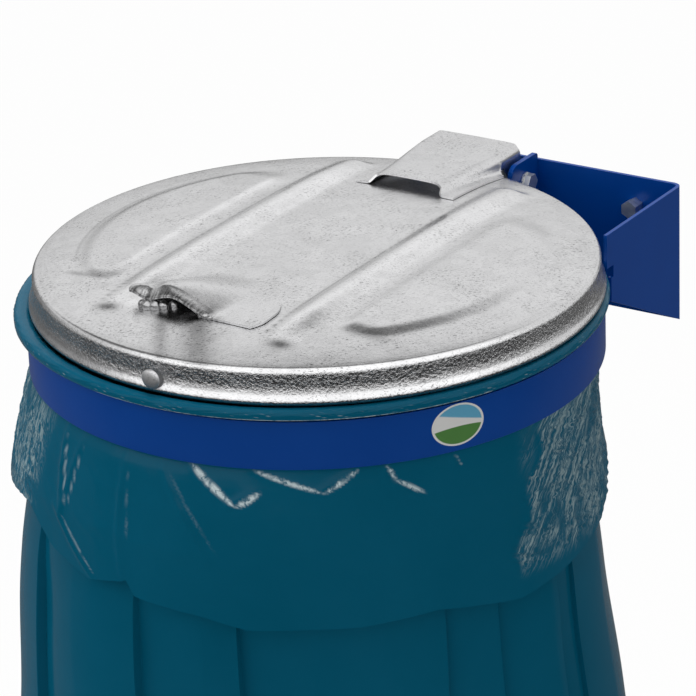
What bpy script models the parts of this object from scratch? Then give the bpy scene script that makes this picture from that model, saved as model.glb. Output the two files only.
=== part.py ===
"""Wall-mounted sack holder with a hinged galvanised lid.

A folded wall bracket carries a fixed ring. A loose clamping ring holds the film sack in it, and the
lid turns on a bolt between two ears of the bracket. Metres, +Z up, the wall is the plane y = 0, and
the object stands out from it towards -Y. The origin is on the wall face of the bracket, in the
middle plane of the lid, half way up the plate.
"""

import math

import bmesh
import bpy
from mathutils import Matrix, Vector

PART_NAME = "bin_bag_holder"
CUTTER_NAME = "cutters"

# Wall bracket
RING_WALL_GAP = 0.040
PLATE_THICKNESS = 0.003
PLATE_HEIGHT = 0.118
PLATE_LEFT = 0.060
PLATE_RIGHT = 0.179
FOLD_RADIUS = 0.005
CHEEK_NOSE_DROP = 0.0582
LEFT_CHEEK_TOP_DROP = 0.0415
LEFT_CHEEK_NOSE_HEIGHT = 0.017
CHEEK_LID_GAP = 0.0014

# Lid
RIM_BELOW_PLATE_TOP = 0.0285
LID_INSET = 0.006
LID_DEPTH = 0.0312
LID_SHOULDER = 0.0084
LID_CROWN = 0.010
LID_SHEET = 0.0012
LID_BEAD = 0.0005
RIB_OFFSET = 0.0735
RIB_WIDTH = 0.028
RIB_HEIGHT = 0.0045
RIB_FRONT_INSET = 0.058
RIB_REAR_INSET = 0.039
PANEL_OFFSET = 0.097
PANEL_INSET = 0.038
PANEL_FRONT_INSET = 0.101
PANEL_REAR_INSET = 0.097
PANEL_HEIGHT = 0.0035
PRESS_BLEND = 0.008

# Rings and sack
BAND_RADIUS = 0.231
BAND_THICKNESS = 0.0025
BAND_HEIGHT = 0.036
HOOP_WALL = 0.0016
HOOP_HEIGHT = 0.038
BEAD_RADIUS = 0.0035
BEAD_OVERHANG = 0.0013
LID_TO_FILM = 0.0004
FILM_THICKNESS = 0.0008
CUFF_LENGTH = 0.126
CUFF_FLARE = 0.0115
SACK_DROP = 0.900
SACK_SEAM_DEPTH = 0.0045
SACK_TUCK = 0.010
SACK_FLATTENING = 1.6
SACK_TURN_STEPS = 4
SACK_BULGE = 0.002
SACK_SWAY = 0.012
SACK_SWAY_TURN = 33
FOLD_PLACES = (-173, -140, -100, -64, -38, -6.5, 15.5, 56.5, 69, 85.5, 118, 150)
FOLD_DEPTH = 0.008
FOLD_REACH = 15

# Hinge
HINGE_FROM_WALL = 0.0247
HINGE_BELOW_PLATE_TOP = 0.0122
EAR_OUTER = 0.0455
EAR_THICKNESS = 0.004
EAR_LID_GAP = 0.0034
EAR_RISE = 0.006
EAR_FILM_GAP = 0.001
EAR_CORNER = 0.009
BOLT_RADIUS = 0.004
BOLT_HEAD_FLATS = 0.013
BOLT_HEAD_HEIGHT = 0.0055
NUT_HEIGHT = 0.0065
BOLT_POINT = 0.0012
WASHER_RADIUS = 0.008
WASHER_THICKNESS = 0.0016
LUG_OUTER = 0.038
LUG_THICKNESS = 0.0025
LUG_END_RADIUS = 0.012
SADDLE_BEND = 0.006
SADDLE_DROP = 0.0015
SADDLE_REAR = 0.003
SADDLE_SET_BACK = 0.0045
SADDLE_CORNER = 0.007
SADDLE_SILL = 0.0018
SLEEVE_RADIUS = 0.007
BUSH_RADIUS = 0.0075

# Hood over the hinge
HOOD_SHEET = 0.0018
HOOD_TOP = 0.0172
HOOD_REACH = 0.140
HOOD_WALL_GAP = 0.024
HOOD_LIP_SET_BACK = 0.010
HOOD_ROOF_FRONT = 0.021
HOOD_ROOF_REAR = 0.034
HOOD_FLANK_FRONT = 0.032
HOOD_FLANK_REAR = 0.0395
HOOD_FOOT = 0.046
HOOD_CUTOUT_REACH = 0.058
HOOD_CUTOUT_TOP = 0.0095
HOOD_CUTOUT_CORNER = 0.008

# Grip on the lid
GRIP_SHEET = 0.0015
GRIP_HALF_WIDTH = 0.056
GRIP_MIDDLE = -0.005
GRIP_INSET = 0.064
GRIP_DEPTH = 0.100
GRIP_CORNER_SHARE = 0.15
GRIP_CORNER_CUT = 0.10
GRIP_NARROWING = 0.90
GRIP_ARCH = 0.0125
GRIP_ARCH_LEFT = 0.041
GRIP_ARCH_RIGHT = 0.023
GRIP_ARCH_REACH = 0.75
GRIP_TIP_LIFT = 0.009
GRIP_TIP_START = 0.028
GRIP_TIP_LENGTH = 0.034

# Wall bolts
WALL_BOLT_EDGE_X = 0.042
WALL_BOLT_TOP_DROP = 0.025
WALL_BOLT_BOTTOM_RISE = 0.028
WALL_BOLT_LEFT_X = -0.013

# Rivet and buffer at the front of the skirt
RIVET_LEVEL = 0.0135
RIVET_HEAD_RADIUS = 0.0075
RIVET_HEAD_HEIGHT = 0.0028
RIVET_SHANK_RADIUS = 0.0021
RIVET_TAIL_RADIUS = 0.0036
RIVET_TAIL_HEIGHT = 0.0016
BUFFER_WIDTH = 0.022
BUFFER_HEIGHT = 0.014
BUFFER_DEPTH = 0.007
BUFFER_EDGE = 0.0012

CLEARANCE = 0.0003
CUT_MARGIN = 0.02
CUT_DEPTH = 0.05
RING_STEPS = 48
ROUND_STEPS = 16
LID_ROWS = 12
SACK_ROWS = 7

# Places worked out from the sizes
WALL_REACH = BAND_RADIUS + RING_WALL_GAP
LID_RADIUS = BAND_RADIUS - LID_INSET
PLATE_TOP = PLATE_HEIGHT / 2
PLATE_BOTTOM = -PLATE_HEIGHT / 2
PLATE_FRONT_Y = -PLATE_THICKNESS
RIM_LEVEL = PLATE_TOP - RIM_BELOW_PLATE_TOP
CREASE_LEVEL = RIM_LEVEL + LID_DEPTH
CREASE_RADIUS = LID_RADIUS - LID_SHOULDER
FILM_RADIUS = BAND_RADIUS - BAND_THICKNESS - CLEARANCE - FILM_THICKNESS / 2
HOOP_RADIUS = FILM_RADIUS - FILM_THICKNESS / 2 - CLEARANCE
BEAD_CENTRE_RADIUS = HOOP_RADIUS + BEAD_OVERHANG
BEAD_WRAP = BEAD_RADIUS + CLEARANCE + FILM_THICKNESS / 2
FILM_OUTER_RADIUS = BEAD_CENTRE_RADIUS + BEAD_WRAP + FILM_THICKNESS / 2
BEAD_LEVEL = RIM_LEVEL - LID_TO_FILM - BEAD_WRAP - FILM_THICKNESS / 2
BAND_TOP = BEAD_LEVEL - BEAD_WRAP - FILM_THICKNESS / 2 - CLEARANCE
BAND_BOTTOM = BAND_TOP - BAND_HEIGHT
HINGE_Y = -HINGE_FROM_WALL
HINGE_Z = PLATE_TOP - HINGE_BELOW_PLATE_TOP
HOLE_RADIUS = BOLT_RADIUS + CLEARANCE

PAINT = ("blue_paint", (0.0, 0.03, 0.19, 1.0), 0.35, 0.0)
ZINC = ("galvanised", (0.60, 0.61, 0.62, 1.0), 0.35, 1.0)
STEEL = ("zinc_plated", (0.55, 0.56, 0.57, 1.0), 0.30, 1.0)
FILM = ("film", (0.0, 0.09, 0.14, 1.0), 0.30, 0.0)
RUBBER = ("rubber", (0.02, 0.02, 0.02, 1.0), 0.70, 0.0)
NYLON = ("nylon", (0.05, 0.05, 0.05, 1.0), 0.50, 0.0)


def clear_scene():
    """Remove every object, mesh and collection that the new file brings."""
    for item in list(bpy.data.objects):
        bpy.data.objects.remove(item, do_unlink=True)
    for group in list(bpy.data.collections):
        bpy.data.collections.remove(group)


def new_collection(name):
    group = bpy.data.collections.new(name)
    bpy.context.scene.collection.children.link(group)
    return group


def finish_material(node, finish):
    """Give a node its own material from a finish: name, colour, roughness, metallic."""
    kind, colour, roughness, metallic = finish
    material = bpy.data.materials.new(f"{node.name}_{kind}")
    material.use_nodes = True
    shader = material.node_tree.nodes["Principled BSDF"]
    shader.inputs["Base Color"].default_value = colour
    shader.inputs["Roughness"].default_value = roughness
    shader.inputs["Metallic"].default_value = metallic
    node.data.materials.append(material)


def object_from_bmesh(mesh_data, name, group):
    mesh = bpy.data.meshes.new(name)
    mesh_data.to_mesh(mesh)
    mesh_data.free()
    item = bpy.data.objects.new(name, mesh)
    group.objects.link(item)
    return item


def smooth(item, angle=35.0):
    item.data.shade_smooth()
    item.data.set_sharp_from_angle(angle=math.radians(angle))


def hide_cutter(item):
    item.hide_render = True
    item.display_type = "WIRE"
    return item


def boolean(item, tool, operation="DIFFERENCE"):
    modifier = item.modifiers.new(tool.name, "BOOLEAN")
    modifier.operation = operation
    modifier.solver = "EXACT"
    modifier.object = tool


def axis_matrix(axis):
    """Turn a local +Z direction to the named axis."""
    turns = {"X": Matrix.Rotation(math.pi / 2, 4, "Y"), "Y": Matrix.Rotation(-math.pi / 2, 4, "X"),
             "Z": Matrix.Identity(4)}
    return turns[axis]


def cylinder(name, group, radius, start, end, axis, centre, steps=ROUND_STEPS):
    """A cylinder or prism along an axis from start to end, centre gives the other two places."""
    shape = bmesh.new()
    bmesh.ops.create_cone(shape, cap_ends=True, segments=steps, radius1=radius, radius2=radius,
                          depth=end - start)
    middle = Vector(centre)
    middle["XYZ".index(axis)] = (start + end) / 2
    bmesh.ops.transform(shape, matrix=Matrix.Translation(middle) @ axis_matrix(axis), verts=shape.verts)
    return object_from_bmesh(shape, name, group)


def hexagon_radius(flats):
    return flats / math.sqrt(3)


def prism(name, group, outline, axis, start, end):
    """Extrude a flat outline along an axis. The outline gives the other two coordinates in order."""
    place = {"X": lambda a, b: (start, a, b), "Y": lambda a, b: (a, start, b),
             "Z": lambda a, b: (a, b, start)}[axis]
    shape = bmesh.new()
    face = shape.faces.new([shape.verts.new(place(a, b)) for a, b in outline])
    sweep = bmesh.ops.extrude_face_region(shape, geom=[face])
    step = Vector((0, 0, 0))
    step["XYZ".index(axis)] = end - start
    moved = [part for part in sweep["geom"] if isinstance(part, bmesh.types.BMVert)]
    bmesh.ops.translate(shape, verts=moved, vec=step)
    bmesh.ops.recalc_face_normals(shape, faces=shape.faces)
    return object_from_bmesh(shape, name, group)


def arc(centre, radius, start_deg, end_deg, steps):
    """Points on an arc, both ends included."""
    turn = [math.radians(start_deg + (end_deg - start_deg) * i / steps) for i in range(steps + 1)]
    return [(centre[0] + radius * math.cos(t), centre[1] + radius * math.sin(t)) for t in turn]


def turned(name, group, outline, centre, steps, axis="Z", closed=True):
    """Turn an outline of (radius, height) round an axis through the centre.

    An open outline starts and ends on the axis and gives a solid with poles.
    """
    shape = bmesh.new()
    line = [shape.verts.new((r, 0, h)) for r, h in outline]
    pairs = list(zip(line, line[1:]))
    if closed:
        pairs.append((line[-1], line[0]))
    for pair in pairs:
        shape.edges.new(pair)
    item = object_from_bmesh(shape, name, group)
    item.matrix_world = Matrix.Translation(centre) @ axis_matrix(axis)
    screw = item.modifiers.new("turn", "SCREW")
    screw.steps = steps
    screw.render_steps = steps
    screw.use_merge_vertices = True
    screw.merge_threshold = 0.00001
    return item


def fade(value, start, width):
    """0 before start, 1 after start + width, smooth between."""
    t = min(1.0, max(0.0, (value - start) / width))
    return t * t * (3 - 2 * t)


def crown(x, y):
    """Height of the plain crowned top above the crease, y measured from the lid's middle."""
    return LID_CROWN * (1 - min(1.0, math.hypot(x, y) / CREASE_RADIUS) ** 4)


def pressing(x, y):
    """Height that the ribs and the side panels add to the crowned top."""
    across = abs(x)
    rib = 1 - fade(abs(across - RIB_OFFSET), RIB_WIDTH / 2 - PRESS_BLEND, PRESS_BLEND)
    rib *= fade(y, RIB_FRONT_INSET - LID_RADIUS, PRESS_BLEND)
    rib *= fade(-y, RIB_REAR_INSET - LID_RADIUS, PRESS_BLEND)
    panel = fade(across, PANEL_OFFSET, PRESS_BLEND)
    panel *= fade(-math.hypot(x, y), PANEL_INSET - LID_RADIUS, PRESS_BLEND)
    panel *= fade(y, PANEL_FRONT_INSET - LID_RADIUS, PRESS_BLEND)
    panel *= fade(-y, PANEL_REAR_INSET - LID_RADIUS, PRESS_BLEND)
    return RIB_HEIGHT * rib + PANEL_HEIGHT * panel


def lid_top(x, y):
    """Level of the lid's outer face at a place given from the lid's middle."""
    return CREASE_LEVEL + crown(x, y) + pressing(x, y)


def lid_columns():
    """Offsets of the lid mesh's straight lines: field, rib, panel edge and rim, one side."""
    rib_edge = RIB_OFFSET - RIB_WIDTH / 2
    field = [rib_edge * i / 4 for i in range(5)]
    rib = [RIB_OFFSET + RIB_WIDTH / 4 * i for i in (-1, 0, 1, 2)]
    panel = [PANEL_OFFSET, PANEL_OFFSET + PRESS_BLEND]
    first = math.asin(panel[-1] / CREASE_RADIUS)
    last = math.radians(60)
    rim = [CREASE_RADIUS * math.sin(first + (last - first) * i / 6) for i in range(1, 7)]
    return field + rib + panel + rim


def lid_point(column, row, columns, rows):
    """A point of the lid's top: straight columns in the middle, round ones at the sides."""
    side = 1 if column >= 0 else -1
    x = columns[abs(column)]
    share = 2 * row / rows - 1
    half = math.sqrt(CREASE_RADIUS ** 2 - x ** 2)
    y = share * half
    bow = max(0.0, (x - columns[-3]) / (columns[-1] - columns[-3]))
    if abs(column) < len(columns) - 1:
        bow /= 2
    x = side * (x + bow * (math.sqrt(CREASE_RADIUS ** 2 - y ** 2) - x))
    return Vector((x, y - WALL_REACH, lid_top(x, y)))


def skirt_outline():
    """Skirt of the lid from the crease to the lower edge, as (radius, level)."""
    steps = ((0.0052, 0.0302), (0.0034, 0.0276), (0.0031, 0.0225), (0.0034, 0.0175), (0.0014, 0.0140),
             (-LID_BEAD, 0.0095), (-0.0003, 0.0045), (0.0012, 0.0012), (0.0005, 0.0))
    return [(LID_RADIUS - inset, RIM_LEVEL + height) for inset, height in steps]


def make_lid(group, cutters):
    """The pressed sheet: crowned top with ribs and panels, drawn down to the skirt."""
    columns = lid_columns()
    rows = LID_ROWS
    count = len(columns) - 1
    shape = bmesh.new()
    bmesh.ops.create_grid(shape, x_segments=2 * count, y_segments=rows, size=1)
    for vertex in shape.verts:
        column = round(vertex.co.x * count)
        row = round((vertex.co.y + 1) * rows / 2)
        vertex.co = lid_point(column, row, columns, rows)
    rim = [edge for edge in shape.edges if edge.is_boundary]
    for radius, level in skirt_outline():
        grown = bmesh.ops.extrude_edge_only(shape, edges=rim)
        rim = [part for part in grown["geom"] if isinstance(part, bmesh.types.BMEdge)]
        for vertex in {end for edge in rim for end in edge.verts}:
            out = Vector((vertex.co.x, vertex.co.y + WALL_REACH)).normalized() * radius
            vertex.co = (out.x, out.y - WALL_REACH, level)
    bmesh.ops.recalc_face_normals(shape, faces=shape.faces)
    lid = object_from_bmesh(shape, "lid", group)
    wall = lid.modifiers.new("sheet", "SOLIDIFY")
    wall.thickness = LID_SHEET
    wall.offset = -1
    front = -WALL_REACH - LID_RADIUS
    hole = cylinder("rivet_hole", cutters, RIVET_SHANK_RADIUS + CLEARANCE, front - CUT_MARGIN,
                    front + CUT_MARGIN, "Y", (0, 0, RIM_LEVEL + RIVET_LEVEL), 12)
    boolean(lid, hide_cutter(hole))
    smooth(lid)
    finish_material(lid, ZINC)
    return lid


def bracket_line():
    """Middle line of the folded bracket seen from above, from the right nose to the left nose."""
    half = PLATE_THICKNESS / 2
    bend = FOLD_RADIUS + half
    right = PLATE_RIGHT - half
    left = -PLATE_LEFT + half
    lid_side = behind_middle(LID_RADIUS + LID_BEAD + CHEEK_LID_GAP, PLATE_RIGHT - PLATE_THICKNESS)
    line = [(right, -WALL_REACH + lid_side)]
    line += arc((right - bend, -half - bend), bend, 0, 90, 5)
    line += arc((left + bend, -half - bend), bend, 90, 180, 5)
    left_inner = PLATE_LEFT - PLATE_THICKNESS
    line += [(left, -WALL_REACH + behind_middle(BAND_RADIUS + CLEARANCE, left_inner))]
    return line


def behind_middle(radius, x):
    """How far behind the ring's middle a circle of this radius lies at x."""
    return math.sqrt(radius ** 2 - x ** 2)


def make_bracket(group, cutters):
    """Wall plate with both cheeks, folded from one sheet."""
    shape = bmesh.new()
    line = [shape.verts.new((x, y, PLATE_BOTTOM)) for x, y in bracket_line()]
    edges = [shape.edges.new(pair) for pair in zip(line, line[1:])]
    grown = bmesh.ops.extrude_edge_only(shape, edges=edges)
    top = [part for part in grown["geom"] if isinstance(part, bmesh.types.BMVert)]
    bmesh.ops.translate(shape, verts=top, vec=(0, 0, PLATE_HEIGHT))
    bracket = object_from_bmesh(shape, "wall_bracket", group)
    wall = bracket.modifiers.new("sheet", "SOLIDIFY")
    wall.thickness = PLATE_THICKNESS
    wall.offset = 0
    wall.use_even_offset = True

    inner = PLATE_RIGHT - PLATE_THICKNESS
    nose_y = -WALL_REACH + behind_middle(BAND_RADIUS + CLEARANCE, inner)
    film_y = -WALL_REACH + behind_middle(FILM_OUTER_RADIUS + 2 * CLEARANCE, inner)
    nose_z = PLATE_TOP - CHEEK_NOSE_DROP
    slope = (nose_z - PLATE_BOTTOM) / (nose_y - PLATE_FRONT_Y)
    far_y = nose_y - CUT_DEPTH
    deep = PLATE_BOTTOM - CUT_DEPTH
    wide = (PLATE_RIGHT - CUT_MARGIN, PLATE_RIGHT + CUT_MARGIN)
    under = [(PLATE_FRONT_Y, PLATE_BOTTOM), (far_y, PLATE_BOTTOM + slope * (far_y - PLATE_FRONT_Y)),
             (far_y, deep), (PLATE_FRONT_Y, deep)]
    boolean(bracket, hide_cutter(prism("right_cheek_taper", cutters, under, "X", *wide)))
    above = RIM_LEVEL + CLEARANCE
    below = BAND_TOP + CLEARANCE
    notch = [(far_y, above), (film_y, above), (film_y, below), (nose_y, below), (nose_y, deep),
             (far_y, deep)]
    boolean(bracket, hide_cutter(prism("ring_notch", cutters, notch, "X", *wide)))

    left_y = -WALL_REACH + behind_middle(BAND_RADIUS + CLEARANCE, PLATE_LEFT - PLATE_THICKNESS)
    upper = PLATE_TOP - LEFT_CHEEK_TOP_DROP
    lower = upper - LEFT_CHEEK_NOSE_HEIGHT
    fold_y = PLATE_FRONT_Y - FOLD_RADIUS
    rise = (PLATE_TOP - upper) / (fold_y - left_y)
    fall = (lower - PLATE_BOTTOM) / (fold_y - left_y)
    past_y = left_y - CUT_MARGIN
    high = PLATE_TOP + CUT_DEPTH
    above = [(fold_y, PLATE_TOP), (fold_y, high), (past_y, high), (past_y, upper - rise * CUT_MARGIN)]
    below = [(fold_y, PLATE_BOTTOM), (past_y, lower + fall * CUT_MARGIN), (past_y, deep), (fold_y, deep)]
    span = (-PLATE_LEFT - CUT_MARGIN, -PLATE_LEFT + 2 * PLATE_THICKNESS)
    for name, outline in (("left_cheek_top", above), ("left_cheek_bottom", below)):
        boolean(bracket, hide_cutter(prism(name, cutters, outline, "X", *span)))
    for number, (x, z) in enumerate(wall_bolt_places(), 1):
        hole = cylinder(f"wall_hole_{number}", cutters, HOLE_RADIUS, -CUT_MARGIN, CUT_MARGIN, "Y",
                        (x, 0, z))
        boolean(bracket, hide_cutter(hole))
    smooth(bracket)
    finish_material(bracket, PAINT)
    return bracket


def ear_outline():
    """Side view of a hinge ear, (y, z): rounded at the top, chamfered below."""
    rear = PLATE_FRONT_Y - CLEARANCE
    beside_lid = behind_middle(LID_RADIUS + LID_BEAD, EAR_OUTER - EAR_THICKNESS)
    front = -WALL_REACH + beside_lid + EAR_LID_GAP
    top = PLATE_TOP + EAR_RISE
    bottom = RIM_LEVEL + EAR_FILM_GAP
    small = EAR_CORNER / 3
    outline = [(rear, bottom)]
    outline += arc((rear - small, top - small), small, 0, 90, 3)
    outline += arc((front + EAR_CORNER, top - EAR_CORNER), EAR_CORNER, 90, 180, 6)
    outline += [(front, bottom + small), (front + small, bottom)]
    return outline


def make_ears(group, cutters):
    """The two tabs that carry the hinge bolt."""
    for side, name in ((-1, "hinge_ear_left"), (1, "hinge_ear_right")):
        inner = EAR_OUTER - EAR_THICKNESS
        low, high = sorted((side * inner, side * EAR_OUTER))
        ear = prism(name, group, ear_outline(), "X", low, high)
        hole = cylinder(f"{name}_hole", cutters, HOLE_RADIUS, low - CUT_MARGIN, high + CUT_MARGIN, "X",
                        (0, HINGE_Y, HINGE_Z))
        boolean(ear, hide_cutter(hole))
        smooth(ear)
        finish_material(ear, PAINT)


def make_rings(group):
    """The fixed band and the clamping hoop with its beaded edge."""
    middle = (0, -WALL_REACH, 0)
    inner = BAND_RADIUS - BAND_THICKNESS
    edge = BAND_THICKNESS / 4
    outline = [(inner, BAND_TOP), (BAND_RADIUS - edge, BAND_TOP), (BAND_RADIUS, BAND_TOP - edge),
               (BAND_RADIUS, BAND_BOTTOM + edge), (BAND_RADIUS - edge, BAND_BOTTOM), (inner, BAND_BOTTOM)]
    band = turned("holder_ring", group, outline, middle, RING_STEPS)
    smooth(band)
    finish_material(band, PAINT)

    bottom = BEAD_LEVEL - HOOP_HEIGHT
    hoop_inner = HOOP_RADIUS - HOOP_WALL
    neck = math.degrees(math.acos((HOOP_RADIUS - BEAD_CENTRE_RADIUS) / BEAD_RADIUS))
    throat = math.degrees(math.acos(max(-1.0, (hoop_inner - BEAD_CENTRE_RADIUS) / BEAD_RADIUS)))
    bead = arc((BEAD_CENTRE_RADIUS, BEAD_LEVEL), BEAD_RADIUS, 360 - throat, -neck, 10)
    outline = [(hoop_inner, bottom)] + bead + [(HOOP_RADIUS, bottom)]
    hoop = turned("clamping_ring", group, outline, middle, RING_STEPS)
    smooth(hoop)
    finish_material(hoop, PAINT)


def sack_stations():
    """Middle line of the film from the cuff's hem to the sack's seam: radius, level, flattening."""
    exit_level = BAND_BOTTOM - 0.0015
    cuff = [(CUFF_FLARE * 0.86, 1.0), (CUFF_FLARE, 0.75), (CUFF_FLARE, 0.45), (CUFF_FLARE * 0.72, 0.22),
            (CUFF_FLARE * 0.35, 0.08), (0.0, 0.0)]
    stations = [(FILM_RADIUS + flare, exit_level - share * CUFF_LENGTH, 0.0) for flare, share in cuff]
    stations += [(FILM_RADIUS, BAND_TOP - 0.001, 0.0)]
    stations += [(r, z, 0.0) for r, z in arc((BEAD_CENTRE_RADIUS, BEAD_LEVEL), BEAD_WRAP, -97, 180, 7)]
    inner = BEAD_CENTRE_RADIUS - BEAD_WRAP
    start = BAND_BOTTOM - SACK_TUCK
    stations += [(inner, start, 0.0)]
    for step in range(1, SACK_ROWS + 1):
        share = step / SACK_ROWS
        stations.append((inner, start - SACK_DROP * share, share ** SACK_FLATTENING))
    return stations


def sack_folds():
    """Columns of the film that stand at a fold, as their turns in degrees from the front.

    The column before a fold goes to its edge, and the next one to its foot beside it.
    """
    pitch = 360 / RING_STEPS
    moved = {}
    for place in FOLD_PLACES:
        column = math.floor(place / pitch)
        moved[column % RING_STEPS] = place
        moved[(column + 1) % RING_STEPS] = place + 1.5
    return moved


def fold_depth(degrees):
    """How far the film lies in behind the folds on its left, at an angle from the front."""
    behind = min((degrees - place) % 360 for place in FOLD_PLACES)
    return FOLD_DEPTH * max(0.0, 1 - behind / FOLD_REACH) if behind > 0 else 0.0


def sack_point(turn, radius, level, flat, lift):
    """A point of the film. Flattening turns the circle into a slot with as long an edge.

    The slot lies turned against the wall, because the sack hangs as it was put in, and it sways to
    one side below the rings. The lift moves the point out across the film.
    """
    turned_by = 2 * math.pi * SACK_TURN_STEPS / RING_STEPS
    turn = (turn - turned_by) % (2 * math.pi)
    small = radius + (SACK_SEAM_DEPTH / 2 - radius) * flat
    straight = math.pi / 2 * (radius - small)
    edge = turn * radius
    quarter = math.pi / 2 * small
    x_sign = 1 if math.cos(turn) >= 0 else -1
    y_sign = 1 if math.sin(turn) >= 0 else -1
    along = min(edge % (math.pi * radius), math.pi * radius - edge % (math.pi * radius))
    angle = min(along / small, math.pi / 2)
    x = straight + (small + lift) * math.cos(angle) - max(0.0, along - quarter)
    y = (small + lift) * math.sin(angle)
    place = Matrix.Rotation(turned_by, 3, "Z") @ Vector((x_sign * x, y_sign * y, level))
    below = BAND_BOTTOM - SACK_TUCK - level
    sway = SACK_SWAY * min(1.0, max(0.0, below * SACK_ROWS / SACK_DROP))
    aside = math.radians(SACK_SWAY_TURN)
    return place - Vector((sway * math.cos(aside), WALL_REACH + sway * math.sin(aside), 0))


def make_sack(group):
    """The film sack: cuff outside the rings, over the bead and down in folds to a flat seam."""
    stations = sack_stations()
    body = len(stations) - 1 - SACK_ROWS
    folds = sack_folds()
    shape = bmesh.new()
    bmesh.ops.create_grid(shape, x_segments=RING_STEPS, y_segments=len(stations) - 1, size=1)
    for vertex in shape.verts:
        column = round((vertex.co.x + 1) * RING_STEPS / 2)
        row = round((vertex.co.y + 1) * (len(stations) - 1) / 2)
        column %= RING_STEPS
        degrees = column * 360 / RING_STEPS
        lift = 0.0
        if row > body:
            loose = 1 - fade((row - body) / SACK_ROWS, 0.5, 0.5)
            degrees = folds.get(column, degrees)
            lift = (SACK_BULGE - fold_depth(degrees)) * loose
        vertex.co = sack_point(math.radians(degrees - 90), *stations[row], lift)
    bmesh.ops.remove_doubles(shape, verts=shape.verts, dist=0.00001)
    lowest = min(vertex.co.z for vertex in shape.verts)
    seam = [edge for edge in shape.edges if edge.is_boundary and edge.verts[0].co.z < lowest + 0.001]
    bmesh.ops.holes_fill(shape, edges=seam, sides=0)
    bmesh.ops.recalc_face_normals(shape, faces=shape.faces)
    sack = object_from_bmesh(shape, "bin_bag", group)
    wall = sack.modifiers.new("film", "SOLIDIFY")
    wall.thickness = FILM_THICKNESS
    wall.offset = 0
    smooth(sack, 60)
    finish_material(sack, FILM)
    return sack


def hood_section(share):
    """Half section of the hood at a share of its length: (x, height rule) from roof to foot."""
    roof = HOOD_ROOF_FRONT + (HOOD_ROOF_REAR - HOOD_ROOF_FRONT) * fade(share, 0, 0.8)
    flank = HOOD_FLANK_FRONT + (HOOD_FLANK_REAR - HOOD_FLANK_FRONT) * fade(share, 0, 0.8)
    gap = flank - roof
    return [(0, 1.0), (roof * 0.6, 0.99), (roof, 0.97), (roof + gap * 0.5, 0.88), (roof + gap * 0.85, 0.68),
            (flank, 0.38), (flank + 0.0012, 0.13), (flank + 0.0038, 0.02), (HOOD_FOOT, 0.0)]


def make_hood(group, cutters):
    """The bent saddle over the hinge: a low arch in front, square shoulders at the back."""
    length = 8
    half = len(hood_section(0)) - 1
    top = CREASE_LEVEL + HOOD_TOP - HOOD_SHEET / 2
    shape = bmesh.new()
    bmesh.ops.create_grid(shape, x_segments=2 * half, y_segments=length, size=1)
    for vertex in shape.verts:
        column = round(vertex.co.x * half)
        share = (vertex.co.y + 1) / 2
        x, height = hood_section(share)[abs(column)]
        x = math.copysign(x, column) if column else 0.0
        front = HOOD_LIP_SET_BACK * height - HOOD_REACH
        y = front - (HOOD_WALL_GAP + front) * share
        foot = CREASE_LEVEL + crown(x, y + WALL_REACH) + CLEARANCE + HOOD_SHEET / 2
        vertex.co = (x, y, foot + (top - foot) * height)
    bmesh.ops.recalc_face_normals(shape, faces=shape.faces)
    hood = object_from_bmesh(shape, "hinge_hood", group)
    wall = hood.modifiers.new("sheet", "SOLIDIFY")
    wall.thickness = HOOD_SHEET
    wall.offset = 0
    wall.use_even_offset = True
    start = -HOOD_CUTOUT_REACH
    level = CREASE_LEVEL + HOOD_CUTOUT_TOP
    corner = arc((start + HOOD_CUTOUT_CORNER, level - HOOD_CUTOUT_CORNER), HOOD_CUTOUT_CORNER, 180, 90, 5)
    outline = [(start, level - CUT_DEPTH)] + corner + [(CUT_DEPTH, level), (CUT_DEPTH, level - CUT_DEPTH)]
    half_width = HOOD_FOOT + CUT_MARGIN
    cutout = prism("hood_cutout", cutters, outline, "X", -half_width, half_width)
    boolean(hood, hide_cutter(cutout))
    smooth(hood, 50)
    finish_material(hood, ZINC)
    return hood


def make_saddle(group, cutters):
    """The folded U under the hood whose two lugs turn on the bolt."""
    roof = CREASE_LEVEL + HOOD_TOP - HOOD_SHEET - SADDLE_DROP
    low = HINGE_Z - LUG_END_RADIUS - CUT_MARGIN
    bend = SADDLE_BEND
    inner = LUG_OUTER - LUG_THICKNESS
    outer_line = [(LUG_OUTER, low)] + arc((LUG_OUTER - bend, roof - bend), bend, 0, 90, 4)
    inner_bend = bend - LUG_THICKNESS
    inner_line = [(inner, low)] + arc((inner - inner_bend, roof - bend), inner_bend, 0, 90, 4)
    half = outer_line + [(-x, z) for x, z in reversed(outer_line)]
    hollow = [(-x, z) for x, z in inner_line] + [(x, z) for x, z in reversed(inner_line)]
    front = SADDLE_SET_BACK - HOOD_CUTOUT_REACH
    saddle = prism("hinge_saddle", group, half + hollow, "Y", front, 0.0)

    lid_side = -WALL_REACH + LID_RADIUS + LID_BEAD
    rear = HINGE_Y + SADDLE_REAR
    sill = CREASE_LEVEL + SADDLE_SILL
    corner = SADDLE_CORNER
    side = arc((front + corner, roof - corner), corner, 180, 90, 4)
    side += [(front + corner + 0.001, roof + 0.001), (rear, roof + 0.001)]
    side += arc((HINGE_Y, HINGE_Z), LUG_END_RADIUS, 0, -180, 10)
    side += [(lid_side + 0.001, sill - 0.003), (lid_side, sill), (front, sill)]
    half_width = LUG_OUTER + CUT_MARGIN
    shape = prism("saddle_side", cutters, side, "X", -half_width, half_width)
    boolean(saddle, hide_cutter(shape), "INTERSECT")
    hole = cylinder("saddle_hole", cutters, HOLE_RADIUS, -half_width, half_width, "X",
                    (0, HINGE_Y, HINGE_Z))
    boolean(saddle, hide_cutter(hole))
    smooth(saddle)
    finish_material(saddle, ZINC)
    return saddle


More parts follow.
